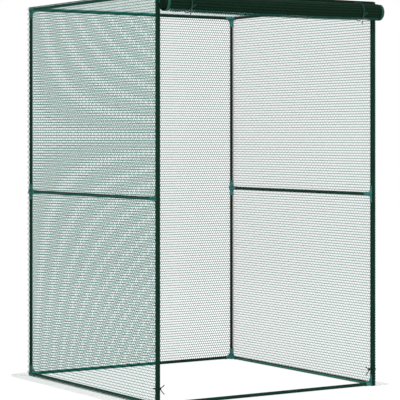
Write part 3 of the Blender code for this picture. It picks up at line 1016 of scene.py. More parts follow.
@dataclass
class NetCover:
    """The walls and roof of netting, each shown as two pieces."""

    layout: Layout
    yarn: Yarn = Yarn()
    roof_yarn: Yarn = Yarn(width=0.0017, link_width=0.0017, thickness=0.0002)  # pressed flat
    hem_yarn: Yarn = Yarn(width=0.0036, link_width=0.0036, thickness=0.0006, border_width=0.0030,
                          border_thickness=0.0006)
    hem_inset: float = 0.044  # from the posts' axes, clear of the sockets
    hem_lift: float = 0.0007  # from the rail
    hem_turn: float = 1.05 * pi
    hem_gap: Pair = (0.004, 0.004)
    foot: float = 0.0018  # the walls' lower edge
    front_inset: float = 0.0008
    tooth: float = 0.0045
    loop: float = 0.0050
    loop_inset: float = 0.0030
    shade_reach: float = 0.0095  # from a tube's axis
    fold: float = 0.0360  # of a side's netting before its post, which gets painted shade
    roof_cover: float = 0.30
    seam_inset: float = 0.0009  # a wall's edge from the wall that it meets
    back_gap: Pair = (-0.0020, -0.0014)  # measured from the picture, from the wall's middle
    right_gap: Pair = (0.0053, 0.0002)
    left_gap: Pair = (-0.0046, -0.0019)
    roof_sag: float = 0.006

    def wall(self, name: str, plane: Placer, span: Pair, gap: Pair, sides: str,
             frills: Pair = (0.0, 0.0), hem: Sequence[Object] = ()) -> None:
        """Add one wall as a lower and an upper piece.

        Args:
            name: The node that it stands for.
            plane: The wall's own axes.
            span: Where it starts and ends across.
            gap: The middle of one gap, its height from the bottom rail.
            sides: Which of its left and right sides have a border strand.
            frills: How far its sewn left and right edges stand out.
            hem: The hem at its foot, if it has one.
        """
        at, pitch = self.layout, self.yarn.pitch
        gap = (gap[0], gap[1] + at.low_z)
        top = at.high_z + at.net_inside - BORDER_INSET
        split = gap[1] + round((at.mid_z - gap[1]) / pitch) * pitch
        for part, low, high, borders, pieces in (("lower", self.foot, split, sides + "B", hem),
                                                 ("upper", split, top, sides + "T", ())):
            panel = NetField((span[0], low), (span[1], high), gap, self.yarn, borders,
                             part == "upper", frills)
            item = dress(panel.object(f"{name}_{part}", plane), NET_YARN, Slot.NET, [name])
            self.shade(item, np.concatenate(panel.strands.seams))
            declare_net(item, pieces=pieces)

    def shade(self, item: Object, seams: np.ndarray) -> None:
        """Paint shade on a wall: darker copies of the net yarn on its seams, on the tubes and
        before the posts.

        Args:
            item: The wall.
            seams: Which faces are seams.
        """
        at = self.layout
        x, y, z = middles(item)
        on_side = np.abs(x) > at.post_x + at.net_inside
        on_top_rail = np.abs(z - at.high_z) < self.shade_reach
        # Painted shade: strands on the rails and posts, the seams, and a band of each side's
        # netting before its posts.
        dark = seams | (np.abs(z - at.low_z) < self.shade_reach)
        dark |= on_side & (z > at.mid_z) & (z < at.mid_z + self.shade_reach)
        dark |= ~on_side & on_top_rail
        dark |= ~on_side & (np.abs(np.abs(x) - at.post_x) < self.shade_reach)
        for post in (at.front_y, at.back_y):
            dark |= on_side & (y > post - self.fold) & (y < post - self.seam_inset)
        item.data.materials.append(PAINTED_SHADE_YARN.material())
        item.data.materials.append(PAINTED_HALF_SHADE_YARN.material())
        # Where painted shade is set, the darkest yarn; on the side walls' top rails, a lighter
        # painted shade.
        numbers = np.where(dark, 1, np.where(on_side & on_top_rail, 2, 0))
        item.data.polygons.foreach_set("material_index", numbers.astype(np.int32))

    def hem(self, side: Side) -> Object:
        """Fold the foot of a side wall's net under its bottom rail.

        Args:
            side: Which wall.

        Returns:
            The hem.
        """
        at = self.layout
        reach = at.tube_radius + self.hem_lift

        def place(spots: np.ndarray) -> np.ndarray:
            """Bend the hem round the rail, from its outer side, under it and up its inner side.

            Args:
                spots: Rows of across, up and out distances.

            Returns:
                Rows of X, Y and Z.
            """
            turn, out = spots[:, 1] / reach, reach + spots[:, 2]
            x = side.value * (at.post_x + out * np.cos(turn))
            return points(x, spots[:, 0], at.low_z - out * np.sin(turn))

        panel = NetField((at.front_y + self.hem_inset, 0.0),
                         (at.back_y - self.hem_inset, self.hem_turn * reach), self.hem_gap,
                         self.hem_yarn)
        item = panel.object(f"net_{side.word}_hem", place, side is Side.RIGHT)
        # The hem's yarn is paler than the net's: painted light from the floor under the rail.
        return dress(item, FLOOR_LIT_HEM_YARN, Slot.NET)

    def build(self) -> None:
        """Add the walls and the roof."""
        at = self.layout
        out = at.net_middle
        span = (at.front_y - out + self.front_inset, at.back_y - self.loop_inset)
        middle_y = (at.front_y + at.back_y) / 2
        for side, gap in ((Side.LEFT, self.left_gap), (Side.RIGHT, self.right_gap)):
            plane = Plane((side.value * (at.post_x + out), 0, 0), (0, 1, 0))
            frills = (side.value * self.tooth, side.value * self.loop)
            self.wall(f"net_{side.word}", plane, span, (gap[0] + middle_y, gap[1]), "L", frills,
                      [self.hem(side)])
        self.wall("net_back", Plane((0, at.back_y + out, 0)), (-at.post_x, at.post_x),
                  self.back_gap, "")
        self.roof()

    def roof(self) -> None:
        """Add the roof as a front and a back piece, sagging slightly in its middle."""
        reach = self.layout.post_x + self.layout.net_middle - self.seam_inset
        low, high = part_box("net_roof")
        front, back = low.y + BORDER_INSET, high.y - BORDER_INSET
        level, middle = (low.z + high.z) / 2, (front + back) / 2
        split = round(middle / self.yarn.pitch) * self.yarn.pitch

        def place(spots: np.ndarray) -> np.ndarray:
            """Lay the roof on the rails.

            Args:
                spots: Rows of across, up and out distances.

            Returns:
                Rows of X, Y and Z.
            """
            across = 1 - (spots[:, 0] / reach)**2
            along = 1 - ((spots[:, 1] - middle) / ((back - front) / 2))**2
            drop = self.roof_sag * np.sqrt(np.clip(across * along, 0.0, 1.0))
            return points(spots[:, 0], spots[:, 1], level - drop + spots[:, 2])

        for part, start, end, borders in (
                ("front", front, split, "LRB"), ("back", split, back, "LRT")):
            panel = NetField((-reach, start), (reach, end), yarn=self.roof_yarn, borders=borders,
                             joined=part == "back")
            item = dress(panel.object(f"net_roof_{part}", place), NET_YARN, Slot.NET, ["net_roof"])
            declare_net(item, self.roof_cover)


# ---------------------------------------------------------------- tubes and sockets


@dataclass
class TubeFrame:
    """The eighteen powder-coated tubes, each with its ends deburred."""

    wall: float = 0.0008
    sides: int = 40
    chamfer: float = 0.0004
    names: tuple[str, ...] = tuple(
        [f"post_{level}_{end}_{side}" for level in ("lower", "upper")
         for end in ("front", "back") for side in ("left", "right")]
        + [f"{level}_rail_{side}" for level in ("bottom", "top")
           for side in ("front", "back", "left", "right")]
        + ["middle_rail_left", "middle_rail_right"])

    def model(self, radius: float, length: float) -> Object:
        """Model one tube along Z, its middle at the origin.

        Args:
            radius: The tube's radius.
            length: Its length.

        Returns:
            The tube.
        """
        tube = Bench.add(bpy.ops.mesh.primitive_cylinder_add, "tube_pattern", vertices=self.sides,
                         radius=radius, depth=length - 2 * self.chamfer, end_fill_type="NOTHING")
        for end in (1, -1):
            level = end * (length / 2 - self.chamfer)
            Bench.pick(tube, "EDGE", lambda middle: abs(middle.z - level) < self.chamfer / 8)
            Bench.draw_out(end * self.chamfer, (radius - self.chamfer) / radius)
            Bench.close()
        Bench.modify(tube, "SOLIDIFY", thickness=self.wall, offset=-1.0, use_even_offset=True)
        Bench.hold(tube)
        bpy.ops.object.shade_smooth_by_angle(angle=pi / 6)
        return tube

    def build(self, at: Layout) -> None:
        """Model a tube of each length, and set its copies in place.

        Args:
            at: The frame's layout.
        """
        patterns: dict[float, Object] = {}
        turns = (Matrix.Rotation(pi / 2, 4, "Y"), Matrix.Rotation(pi / 2, 4, "X"),
                 Matrix.Identity(4))
        for name in self.names:
            low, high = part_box(name)
            size, turn = max(zip(high - low, turns), key=lambda pair: pair[0])
            length = round(size, 5)
            if length not in patterns:
                patterns[length] = self.model(at.tube_radius, size)
            place = Matrix.Translation((low + high) / 2) @ turn
            tube = Bench.copy(patterns[length], f"tube_{name}", place)
            dress(tube, STEEL_COAT, Slot.STEEL, [name])
        Bench.discard(*patterns.values())
        LOG.info("tubes: %d, of %d lengths", len(self.names), len(patterns))


RIGHT, BACK, UP, DOWN = (1, 0, 0), (0, 1, 0), (0, 0, 1), (0, 0, -1)


@dataclass
class Sockets:
    """The moulded corner and tee sockets."""

    bore_radius: float = 0.0083
    bore_over: float = 0.002  # past the arm's mouth
    arm_radius: float = 0.0094
    collar_radius: float = 0.0099
    collar_length: float = 0.0050
    collar_slopes: Pair = (0.0006, 0.0008)
    corner_arm: float = 0.040
    corner_riser: float = 0.045
    corner_stop: float = 0.013
    tee_run: float = 0.039
    tee_branch: float = 0.050
    tee_stop: float = 0.004
    hub_rounding: float = 0.0062
    hub_steps: int = 8
    web_root: float = 0.0086
    web_thickness: float = 0.0062
    corner_hollow: float = 0.026
    tee_hollow: float = 0.020
    voxel: float = 0.00050
    faces: int = 9000
    sides: int = 48
    hollow_sides: int = 96
    pick_reach: float = 0.0001

    def rod(self, way: Point, radius: float, ends: Pair,
            steps: Sequence[tuple[float, float | None]]) -> Object:
        """Model a rod that points away from the origin, and draw out its far end.

        Args:
            way: Its direction.
            radius: Its radius.
            ends: Where its plain part starts and ends.
            steps: How far it is drawn out at each step, and how much wider, if at all.

        Returns:
            The rod.
        """
        rod = Bench.add(bpy.ops.mesh.primitive_cylinder_add, "rod_pattern", vertices=self.sides,
                        radius=radius, depth=ends[1] - ends[0], location=(0, 0, sum(ends) / 2))
        bpy.ops.object.transform_apply()
        Bench.pick(rod, "FACE", lambda middle: middle.z > ends[1] - self.pick_reach)
        for length, scale in steps:
            Bench.draw_out(length, scale)
        Bench.close()
        turn = Vector(UP).rotation_difference(Vector(way))
        rod.data.transform(turn.to_matrix().to_4x4())
        return rod

    def hub(self, name: str, reach: float) -> Object:
        """Model the block where the arms meet, its outer corner rounded.

        Args:
            name: The pattern's name.
            reach: From its middle to its sides.

        Returns:
            The block.
        """
        hub = Bench.add(bpy.ops.mesh.primitive_cube_add, name, size=2 * reach)
        Bench.pick(hub, "EDGE", lambda middle: sum(part < -0.9 * reach for part in middle) == 2)
        bpy.ops.mesh.bevel(offset=self.hub_rounding, segments=self.hub_steps, profile=0.5,
                           affect="EDGES")
        Bench.close()
        return hub

    def web(self, first: Point, second: Point, hollow: float) -> Object:
        """Model a web between two arms, its free edge a hollow quarter circle.

        Args:
            first: Direction of one arm.
            second: Direction of the other.
            hollow: Radius of the hollow.

        Returns:
            The web.
        """
        reach = self.web_root + hollow
        web = Bench.add(bpy.ops.mesh.primitive_cube_add, "web_pattern", size=reach,
                        location=(reach / 2, reach / 2, 0.0))
        bpy.ops.object.transform_apply()
        Bench.pick(web, "VERT", lambda middle: True)
        bpy.ops.transform.resize(value=(1.0, 1.0, self.web_thickness / reach))
        Bench.close()
        cutter = Bench.add(bpy.ops.mesh.primitive_cylinder_add, "hollow_pattern",
                           vertices=self.hollow_sides, radius=hollow,
                           depth=4 * self.web_thickness, location=(reach, reach, 0.0))
        Bench.combine(web, cutter, "DIFFERENCE")
        along, across = Vector(first), Vector(second)
        web.data.transform(Matrix((along, across, along.cross(across))).transposed().to_4x4())
        return web

    def mould(self, whole: Object, arms: Sequence[tuple[Point, float, float]],
              webs: Sequence[tuple[Point, Point]], hollow: float) -> Object:
        """Join hub, arms and webs into one moulding with soft inner corners, and cut its bores.

        Args:
            whole: The hub.
            arms: Each arm's direction, its length and where its bore starts.
            webs: Each web's two directions.
            hollow: Radius of the webs' hollow edges.

        Returns:
            The moulding.
        """
        wide = self.collar_radius / self.arm_radius
        rise, fall = self.collar_slopes
        collar = ((rise, wide), (self.collar_length - rise - fall, 1.0), (fall, 1 / wide))
        for way, length, _ in arms:
            arm = self.rod(way, self.arm_radius, (0.0, length - self.collar_length), collar)
            Bench.combine(whole, arm, "UNION")
        for first, second in webs:
            Bench.combine(whole, self.web(first, second, hollow), "UNION")
        for way, length, stop in arms:
            plug = self.rod(way, self.bore_radius, (stop, length), ((self.bore_over, None),))
            Bench.combine(whole, plug, "DIFFERENCE")
        Bench.modify(whole, "REMESH", mode="VOXEL", voxel_size=self.voxel, adaptivity=0.0)
        Bench.modify(whole, "SMOOTH", factor=0.5, iterations=3)
        share = min(1.0, self.faces / (2 * len(whole.data.polygons)))
        Bench.modify(whole, "DECIMATE", ratio=share)
        Bench.hold(whole)
        bpy.ops.object.shade_smooth()
        return whole

    def build(self, at: Layout) -> None:
        """Mould one corner and one tee, and set their copies in place.

        Args:
            at: The frame's layout.
        """
        corner = self.mould(self.hub("corner_pattern", at.socket_radius),
                            [(RIGHT, self.corner_arm, self.corner_stop),
                             (BACK, self.corner_arm, self.corner_stop),
                             (UP, self.corner_riser, self.corner_stop)],
                            [(RIGHT, BACK), (BACK, UP), (UP, RIGHT)], self.corner_hollow)
        tee = self.mould(self.hub("tee_pattern", at.socket_radius),
                         [(UP, self.tee_run, self.tee_stop), (DOWN, self.tee_run, self.tee_stop),
                          (BACK, self.tee_branch, self.corner_stop)],
                         [(BACK, UP), (DOWN, BACK)], self.tee_hollow)
        tip_over = Matrix.Rotation(pi, 4, Vector((1, 1, 0)).normalized())
        for quarters, (end, side) in enumerate((("front", Side.LEFT), ("front", Side.RIGHT),
                                                ("back", Side.RIGHT), ("back", Side.LEFT))):
            y, facing = (at.front_y, 0.0) if end == "front" else (at.back_y, pi)
            spin = Matrix.Rotation(quarters * pi / 2, 4, "Z")
            for pattern, kind, z, turn in (
                    (corner, "corner_socket_bottom", at.low_z, spin),
                    (corner, "corner_socket_top", at.high_z, spin @ tip_over),
                    (tee, "tee_socket", at.mid_z, Matrix.Rotation(facing, 4, "Z"))):
                node = f"{kind}_{end}_{side.word}"
                place = Matrix.Translation((side.value * at.post_x, y, z)) @ turn
                dress(Bench.copy(pattern, f"moulded_{node}", place), TEAL_MOULDING, Slot.PLASTIC,
                      [node])
        LOG.info("sockets: corner %d faces, tee %d faces", len(corner.data.polygons),
                 len(tee.data.polygons))
        Bench.discard(corner, tee)


# ---------------------------------------------------------------- skirts, tapes and door


def uneven(along: np.ndarray, fast: float, swing: float, slow: float,
           shift: object = 0.0) -> np.ndarray:
    """Uneven waves from 0 to 1 along a length.

    Args:
        along: Distances.
        fast: Turns of the waves, in radians for a metre.
        swing: How far they are pushed to and fro.
        slow: Turns of that push, in radians for a metre.
        shift: Where they start.

    Returns:
        Heights.
    """
    return 0.5 + 0.5 * np.sin(along * fast + swing * np.sin(along * slow) + shift)


def eased(share: np.ndarray) -> np.ndarray:
    """A share from 0 to 1 that starts and ends gently."""
    return share**2 * (3 - 2 * share)


@dataclass
class Skirts:
    """The flaps of net on the ground outside the left, right and back walls."""

    yarn: Yarn = Yarn(pitch=0.0232, rise=0.0075, width=0.0024, link_width=0.0024, thickness=0.0006,
                      border_width=0.0020, border_thickness=0.0008)  # pulled open on the ground
    inset: Pair = (0.002, BORDER_INSET)
    gap: Pair = (0.006, 0.004)
    border_step: float = 0.012
    cover: float = 0.30
    lift: float = 0.0005
    ripple: float = 0.0016
    waves: Point = (23.0, 2.1, 7.0)

    def lifted(self, spots: np.ndarray, along: np.ndarray, out: np.ndarray) -> np.ndarray:
        """Heights above the ground: flat at the wall, with slight ripples further out.

        Args:
            spots: The strands' own heights.
            along: Distance along the wall.
            out: Distance from the wall, as a share of the flap's width.

        Returns:
            Heights.
        """
        return spots + self.lift + self.ripple * uneven(along, *self.waves) * out

    @staticmethod
    def rounded(past: np.ndarray, out: np.ndarray) -> tuple[np.ndarray, np.ndarray]:
        """Round a flap's outer corner about the wall's corner.

        Args:
            past: How far each point lies past the wall's end.
            out: How far it lies out from the wall.

        Returns:
            Both distances, pulled in from a square corner to a round one.
        """
        past = np.maximum(past, 0.0)
        size = np.maximum(np.hypot(past, out), 1e-9)
        share = np.maximum(past, out) / size
        return past * share, out * share

    def build(self) -> None:
        """Add the three flaps, widening towards the mitred back corners."""
        for side in Side:
            low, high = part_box(f"skirt_{side.word}")
            width = high.x - low.x
            inner = min(abs(low.x), abs(high.x))
            length = high.y - low.y - width

            def place(spots: np.ndarray) -> np.ndarray:
                """Lay the flap beside its wall.

                Args:
                    spots: Rows of across, up and out distances.

                Returns:
                    Rows of X, Y and Z.
                """
                along, out = spots[:, 0], spots[:, 1]
                reach = along * (length + out) / length
                past, out = self.rounded(reach - length, out)
                y = low.y + np.minimum(reach, length) + past
                return points(side.value * (inner + out), y,
                              self.lifted(spots[:, 2], y, out / width))

            self.add(f"skirt_{side.word}", (length, width), place, side is Side.RIGHT)
        low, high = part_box("skirt_back")
        width = high.y - low.y
        half = (high.x - low.x) / 2 - width

        def place_back(spots: np.ndarray) -> np.ndarray:
            """Lay the flap behind the back wall.

            Args:
                spots: Rows of across, up and out distances.

            Returns:
                Rows of X, Y and Z.
            """
            along, out = spots[:, 0] - half, spots[:, 1]
            reach = np.abs(along) * (half + out) / half
            past, out = self.rounded(reach - half, out)
            x = np.sign(along) * (np.minimum(reach, half) + past)
            return points(x, low.y + out, self.lifted(spots[:, 2], x, out / width))

        self.add("skirt_back", (2 * half, width), place_back, False)

    def add(self, node: str, size: Pair, place: Placer, flipped: bool) -> None:
        """Add one flap.

        Args:
            node: The node that it stands for.
            size: Its length along the wall and its width.
            place: Lays it on the ground.
            flipped: Whether that turns its faces inwards.
        """
        length, width = size
        panel = NetField(self.inset, (length - self.inset[0], width - self.inset[1]), self.gap,
                         self.yarn, border_step=self.border_step)
        # Painted light: the flaps' yarn is far paler than the walls' net yarn.
        item = dress(panel.object(f"{node}_net", place, flipped), FLOOR_LIT_SKIRT_YARN, Slot.NET, [node])
        declare_net(item, self.cover)


def cloth(name: str, grid: np.ndarray, chart: np.ndarray, thickness: float) -> Object:
    """Make a thin closed sheet on a grid of points.

    Args:
        name: The object's name.
        grid: Points as row, column and coordinate.
        chart: The map in metres as row, column, and U and V.
        thickness: Half of it goes to each side.

    Returns:
        The object.
    """
    rows, columns, _ = grid.shape
    index = np.arange(rows * columns).reshape(rows, columns)
    quads = np.stack([index[:-1, :-1], index[:-1, 1:], index[1:, 1:], index[1:, :-1]], axis=-1)
    quads = quads.reshape(-1, 4)
    item = mesh_object(name, grid.reshape(-1, 3), [quads], chart.reshape(-1, 2)[quads])
    Bench.modify(item, "SOLIDIFY", thickness=thickness, offset=0.0, use_even_offset=True)
    return item


@dataclass
class DoorwayTapes:
    """Hem tape down both sides of the doorway and over the front top rail, with its stitching."""

    thickness: float = 0.0010
    stitch_step: float = 0.0048
    stitch_length: float = 0.0034
    stitch_width: float = 0.0007
    stitch_proud: float = 0.0004
    stitch_start: float = 0.004  # of a seam, from the tape's end
    seam_ends: Pair = (0.006, 0.008)  # of an upright seam and of the level one, from the other end
    columns: int = 9  # of points over an upright tape's width
    rows: int = 180
    top_columns: int = 150
    hanging_part: Pair = (0.006, 0.011)  # heights of the points on the top tape's front
    crown_part: float = 0.008  # from its front to the last point before its back edge
    edge_inset: float = 0.0030
    trim: float = 0.0014  # how much narrower than its solid, on each edge
    skin: float = 0.0001  # of the folded tape, under its solid's faces
    fold: float = 0.0022  # radius of the fold over the rail
    wobble: float = 0.0004
    bow_turns: float = 31.0
    ripple_waves: Point = (37.0, 1.7, 11.0)

    def sew(self, node: str, grid: np.ndarray, chart: np.ndarray, front: float,
            seams: Sequence[np.ndarray]) -> None:
        """Args:
            node: The node that it stands for.
            grid: Its points as row, column and coordinate.
            chart: Its map as row, column, and U and V.
            front: Y of its front face.
            seams: Rings of the stitches of each seam.
        """
        item = cloth(f"hem_{node}", grid, chart, self.thickness)
        dress(item, DOOR_TAPE, Slot.TAPE, [node])
        strands = StrandMesh()
        for rings in seams:
            strands.add(rings)
        stitches = strands.object(f"stitches_{node}", Plane((0, front, 0)))
        dress(stitches, NET_YARN, Slot.TAPE)

    def stitches(self, start: float, end: float) -> np.ndarray:
        """Where each stitch of a seam starts and ends, as two columns."""
        starts = np.arange(start + self.stitch_start, end, self.stitch_step)
        return points(starts, starts + self.stitch_length)

    def build(self) -> None:
        """Add the three tapes."""
        half, outline = self.thickness / 2, section(self.stitch_width, 2 * self.stitch_proud)
        for side in Side:
            node = f"doorway_tape_{side.word}"
            low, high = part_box(node)
            low.x, high.x = low.x + self.trim, high.x - self.trim
            across = np.linspace(low.x, high.x, self.columns)
            up = np.linspace(low.z, high.z, self.rows)[:, None]
            face = (low.y + high.y) / 2
            bow = np.sin(up * self.bow_turns) * np.sin((across - low.x) / (high.x - low.x) * pi)
            spans = self.stitches(low.z, high.z - self.seam_ends[0])
            seams = [ringed(x, spans, 0.0, outline)
                     for x in (low.x + self.edge_inset, high.x - self.edge_inset)]
            self.sew(node, points(across, face - self.wobble / 2 * bow, up), points(across, up),
                     face - half, seams)
        node = "doorway_tape_top"
        low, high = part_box(node)
        face, crown = low.y + half + self.skin, high.z - half - self.skin
        bend = [(face + self.fold * (1 - cos(turn)), crown - self.fold * (1 - sin(turn)))
                for turn in np.linspace(0.0, pi / 2, 6)]
        front = [(face, low.z + height) for height in (0.0, *self.hanging_part)]
        profile = np.array([*front, *bend, (face + self.crown_part, crown), (high.y, crown)])
        along, length = np.linspace(low.x, high.x, self.top_columns), travelled(profile)
        grid = points(along, profile[:, :1], profile[:, 1:])
        grid[0, :, 1] -= self.wobble * uneven(along, *self.ripple_waves)
        seam = ringed(self.stitches(low.x, high.x - self.seam_ends[1]), low.z + self.edge_inset,
                      0.0, outline, True)
        self.sew(node, grid, points(length[:, None], along), face - half, [seam])
        LOG.info("doorway tapes: 3")


@dataclass
class RolledDoor:
    """The door panel: wound up in front of the top rail, and the stretch that it unrolls into.

    The roll is tight between its hems, and its outer turn hangs loose round it.
    """

    yarn: Yarn = Yarn(width=0.0026, link_width=0.0022, thickness=0.0010)
    loose_yarn: Yarn = Yarn(width=0.0042, link_width=0.0040, thickness=0.0009)
    layer_thickness: float = 0.0011
    layer_pitch: float = 0.0026
    core_radius: float = 0.004
    turn_points: int = 44
    stations: int = 40
    rim_width: float = 0.014
    rim_slope: float = 0.003
    tight_share: float = 0.85  # radius of the tight turns against the loose outer turn's
    tight_lift: float = 0.0046
    loosening: float = 0.07  # of a turn, over which the outer turn comes off the tight ones
    swell: float = 0.0006
    swell_waves: tuple[float, ...] = (19.0, 0.0, 0.0, 1.3)
    outer_slack: float = 0.0012
    slack_waves: Point = (13.0, 1.7, 5.0)
    loose_turns: float = 2.0
    loose_fall: float = 0.0048  # in radius, over the loose turns
    loose_rise: float = 0.0036
    droop: float = 0.0036  # of the whole roll, in the middle between its ties
    belly: float = 0.0036  # of the loose turns, under the roll
    belly_tie: float = 0.03  # how far a tie draws the belly up to each side
    belly_end: float = 0.04  # how far from the hems it starts
    tie_x: float = 0.4930
    loose_gap: Pair = (0.001, 0.004)
    loose_insets: Pair = (0.001, 0.0008)  # of the loose netting from the hems and at its ends
    head: float = 0.0004  # the panel's upper edge, under its solid's
    panel_ends: Pair = (0.001, 0.0002)  # its netting from the roll's middle and from that edge
    panel_gap: float = 0.004  # its first gap, from its solid's side
    panel_steps: int = 4000  # of the table that gathers it up
    keep: float = 0.10
    joint: str = "door_drop"

    def __post_init__(self) -> None:
        """Read the roll's middle and half length along X, and the joint's travel."""
        low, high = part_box("door_net_roll")
        self.mid_x, self.half = (low.x + high.x) / 2, (high.x - low.x) / 2
        limits = next(row["range_m"] for row in frame["joints"] if row["name"] == self.joint)
        self.travel = float(max(abs(limit) for limit in limits))

    def dip(self, along: np.ndarray) -> np.ndarray:
        """How far the roll hangs down between its ties, at distances from its middle."""
        return self.droop * np.clip(1.0 - (along / self.tie_x)**2, 0.0, 1.0)

    def wound(self) -> tuple[Object, float]:
        """Wind the panel into one spiral sheet, swelling a little between its ties.

        Returns:
            The roll, and the length wound on it.
        """
        (mid_y, mid_z), radius, half = ROLL_CENTRE, ROLL_RADIUS, self.half
        turns = (radius - self.core_radius) / self.layer_pitch
        share = np.linspace(0.0, 1.0, ceil(turns * self.turn_points) + 1)[:, None]
        angle, reach = tau * turns * share, radius - self.layer_pitch * turns * share
        hem = half - self.rim_width
        inner, near = hem - self.rim_slope, np.array([half, half - self.rim_width / 2, hem])
        stations = np.concatenate([-near, np.linspace(-inner, inner, self.stations), near[::-1]])
        outer = eased(np.clip((1.0 - turns * share) / self.loosening, 0.0, 1.0))
        loose = outer * (np.abs(stations) >= hem)
        tight = self.tight_share + (1 - self.tight_share) * loose
        lift = (self.tight_lift - self.dip(stations)) * (1 - loose)
        puff = self.swell * uneven(stations, *self.swell_waves)
        puff = puff * (0.6 + 0.4 * np.sin(3 * angle + 0.7)) * (1 - loose) * (reach / radius)
        full = reach * tight + puff
        grid = points(self.mid_x + stations, mid_y + full * np.cos(angle),
                      mid_z + lift - full * np.sin(angle))
        length = travelled(np.hstack([reach * np.cos(angle), reach * np.sin(angle)]))
        chart = points(stations, length[:, None])
        item = cloth("door_roll_layers", grid, chart, self.layer_thickness)
        return item, float(length[-1])

    def rims(self, item: Object) -> None:
        """Give the outer turn of the hems at the roll's two ends a paler copy of the tape, a
        painted highlight where their edge catches the light.

        Args:
            item: The roll.
        """
        item.data.materials.append(HIGHLIT_RIM_TAPE.material())
        for face in item.data.polygons:
            _, y, z = face.center
            spoke = Vector((0.0, y - ROLL_CENTRE[0], z - ROLL_CENTRE[1]))
            outward = face.normal.dot(spoke.normalized()) > 0.5
            if (outward and spoke.length > ROLL_RADIUS - self.layer_pitch
                    and abs(face.center.x - self.mid_x) > self.half - self.rim_width):
                face.material_index = 1

    def wrap(self) -> Object:
        """Hang the roll's loose outer turns of open netting round it.

        Returns:
            The netting, with painted shade: deepest where it covers the roll, lighter where it
                hangs below it.
        """
        (mid_y, mid_z), pitch = ROLL_CENTRE, self.loose_yarn.pitch
        length = round(self.loose_turns * tau * ROLL_RADIUS / pitch) * pitch
        inner, inset = self.half - self.rim_width - self.loose_insets[0], self.loose_insets[1]

        def place(spots: np.ndarray) -> np.ndarray:
            """Bend the netting round the roll, each turn inside the last one and higher.

            Args:
                spots: Rows of across, up and out distances.

            Returns:
                Rows of X, Y and Z.
            """
            turned = spots[:, 1] / length * self.loose_turns
            angle, share = turned * tau, turned / self.loose_turns
            slack = uneven(spots[:, 0], *self.slack_waves, turned)
            slack = slack * np.clip(0.2 + np.sin(angle), 0.0, 1.0)
            end = np.abs(spots[:, 0])
            belly = self.belly * (1.0 - np.exp(-((end - self.tie_x) / self.belly_tie)**2))
            belly = belly * np.clip((inner - end) / self.belly_end, 0.0, 1.0)
            belly = belly * np.clip(np.sin(angle), 0.0, 1.0) + self.dip(spots[:, 0])
            out = ROLL_RADIUS - self.loose_fall * share + spots[:, 2] - self.outer_slack * slack
            return points(self.mid_x + spots[:, 0], mid_y + out * np.cos(angle),
                          mid_z + self.loose_rise * share - belly - out * np.sin(angle))

        panel = NetField((-inner, inset), (inner, length - inset), self.loose_gap,
                         self.loose_yarn, "LR")
        net = dress(panel.object("door_roll_outer_net", place), PAINTED_ROLL_SHADE_YARN, Slot.NET,
                    body=Body.DOOR_ROLL)
        # Painted shade: darkest over the roll, and a lighter painted shade where it hangs below the
        # roll's tight turns.
        net.data.materials.append(PAINTED_HALF_SHADE_YARN.material())
        x, _, z = middles(net)
        under = (mid_z + self.tight_lift - self.tight_share * ROLL_RADIUS
                 - self.dip(x - self.mid_x))
        net.data.polygons.foreach_set("material_index", (z < under).astype(np.int32))
        return net

    def hanging(self, part: str) -> Object:
        """Model a half of the panel as it hangs when the door is down, gathered to its rest shape.

        Args:
            part: upper or lower.

        Returns:
            The netting, at rest.
        """
        low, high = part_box("door_net_top")
        mid_y, roll_z = ROLL_CENTRE
        start = high.z - self.head
        shares = np.linspace(0.0, 1.0, self.panel_steps + 1)
        rest = start - (start - roll_z) * shares
        posed = rest - self.travel * eased(shares)
        bottom, middle = posed[-1], (posed[0] + posed[-1]) / 2
        face = (low.y + high.y) / 2
        borders, ends = {"lower": ("LRB", (bottom + self.panel_ends[0], middle)),
                         "upper": ("LRT", (middle, start - self.panel_ends[1]))}[part]

        def place(spots: np.ndarray) -> np.ndarray:
            """Hang the netting, then gather it up to where it is at rest.

            Args:
                spots: Rows of across, up and out distances.

            Returns:
                Rows of X, Y and Z.
            """
            height = np.interp(spots[:, 1], posed[::-1], rest[::-1])
            return points(spots[:, 0], face - spots[:, 2], height)

        panel = NetField((low.x + BORDER_INSET, ends[0]), (high.x - BORDER_INSET, ends[1]),
                         (low.x + self.panel_gap, middle), self.yarn, borders, part == "upper")
        item = panel.object(f"door_panel_{part}", place)
        dress(item, NET_YARN, Slot.NET, ["door_net_top"], None)
        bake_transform(item)
        return item

    def build(self) -> None:
        """Add the roll, the netting round it and the panel above it."""
        roll, length = self.wound()
        dress(roll, ROLL_LAYERS, Slot.NET, ["door_net_roll"], Body.DOOR_ROLL)
        self.rims(roll)
        net = self.wrap()
        panels = [self.hanging(part) for part in ("upper", "lower")]
        for piece in (roll, net):
            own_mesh(piece)
        LOG.info("door: roll %d faces", len(roll.data.polygons))


# ---------------------------------------------------------------- ties


def smooth_route(route: Sequence[Point], spacing: float) -> np.ndarray:
    """Evenly spaced points on a smooth curve through a route's points.

    Args:
        route: The points to pass through.
        spacing: About how far apart the new points lie.

    Returns:
        Rows of X, Y and Z.
    """
    spots = np.array(route, dtype=float)
    padded = np.concatenate([[2 * spots[0] - spots[1]], spots, [2 * spots[-1] - spots[-2]]])
    share = np.linspace(0.0, 1.0, 24, endpoint=False)[:, None]
    fine = [0.5 * (2 * b + (c - a) * share + (2 * a - 5 * b + 4 * c - d) * share**2
                   + (3 * b - 3 * c + d - a) * share**3)
            for a, b, c, d in zip(padded, padded[1:], padded[2:], padded[3:])]
    curve = np.concatenate(fine + [spots[-1:]])
    lengths = travelled(curve)
    count = max(6, round(lengths[-1] / spacing))
    targets = np.linspace(0.0, lengths[-1], count + 1)
    return points(*(np.interp(targets, lengths, places) for places in curve.T))


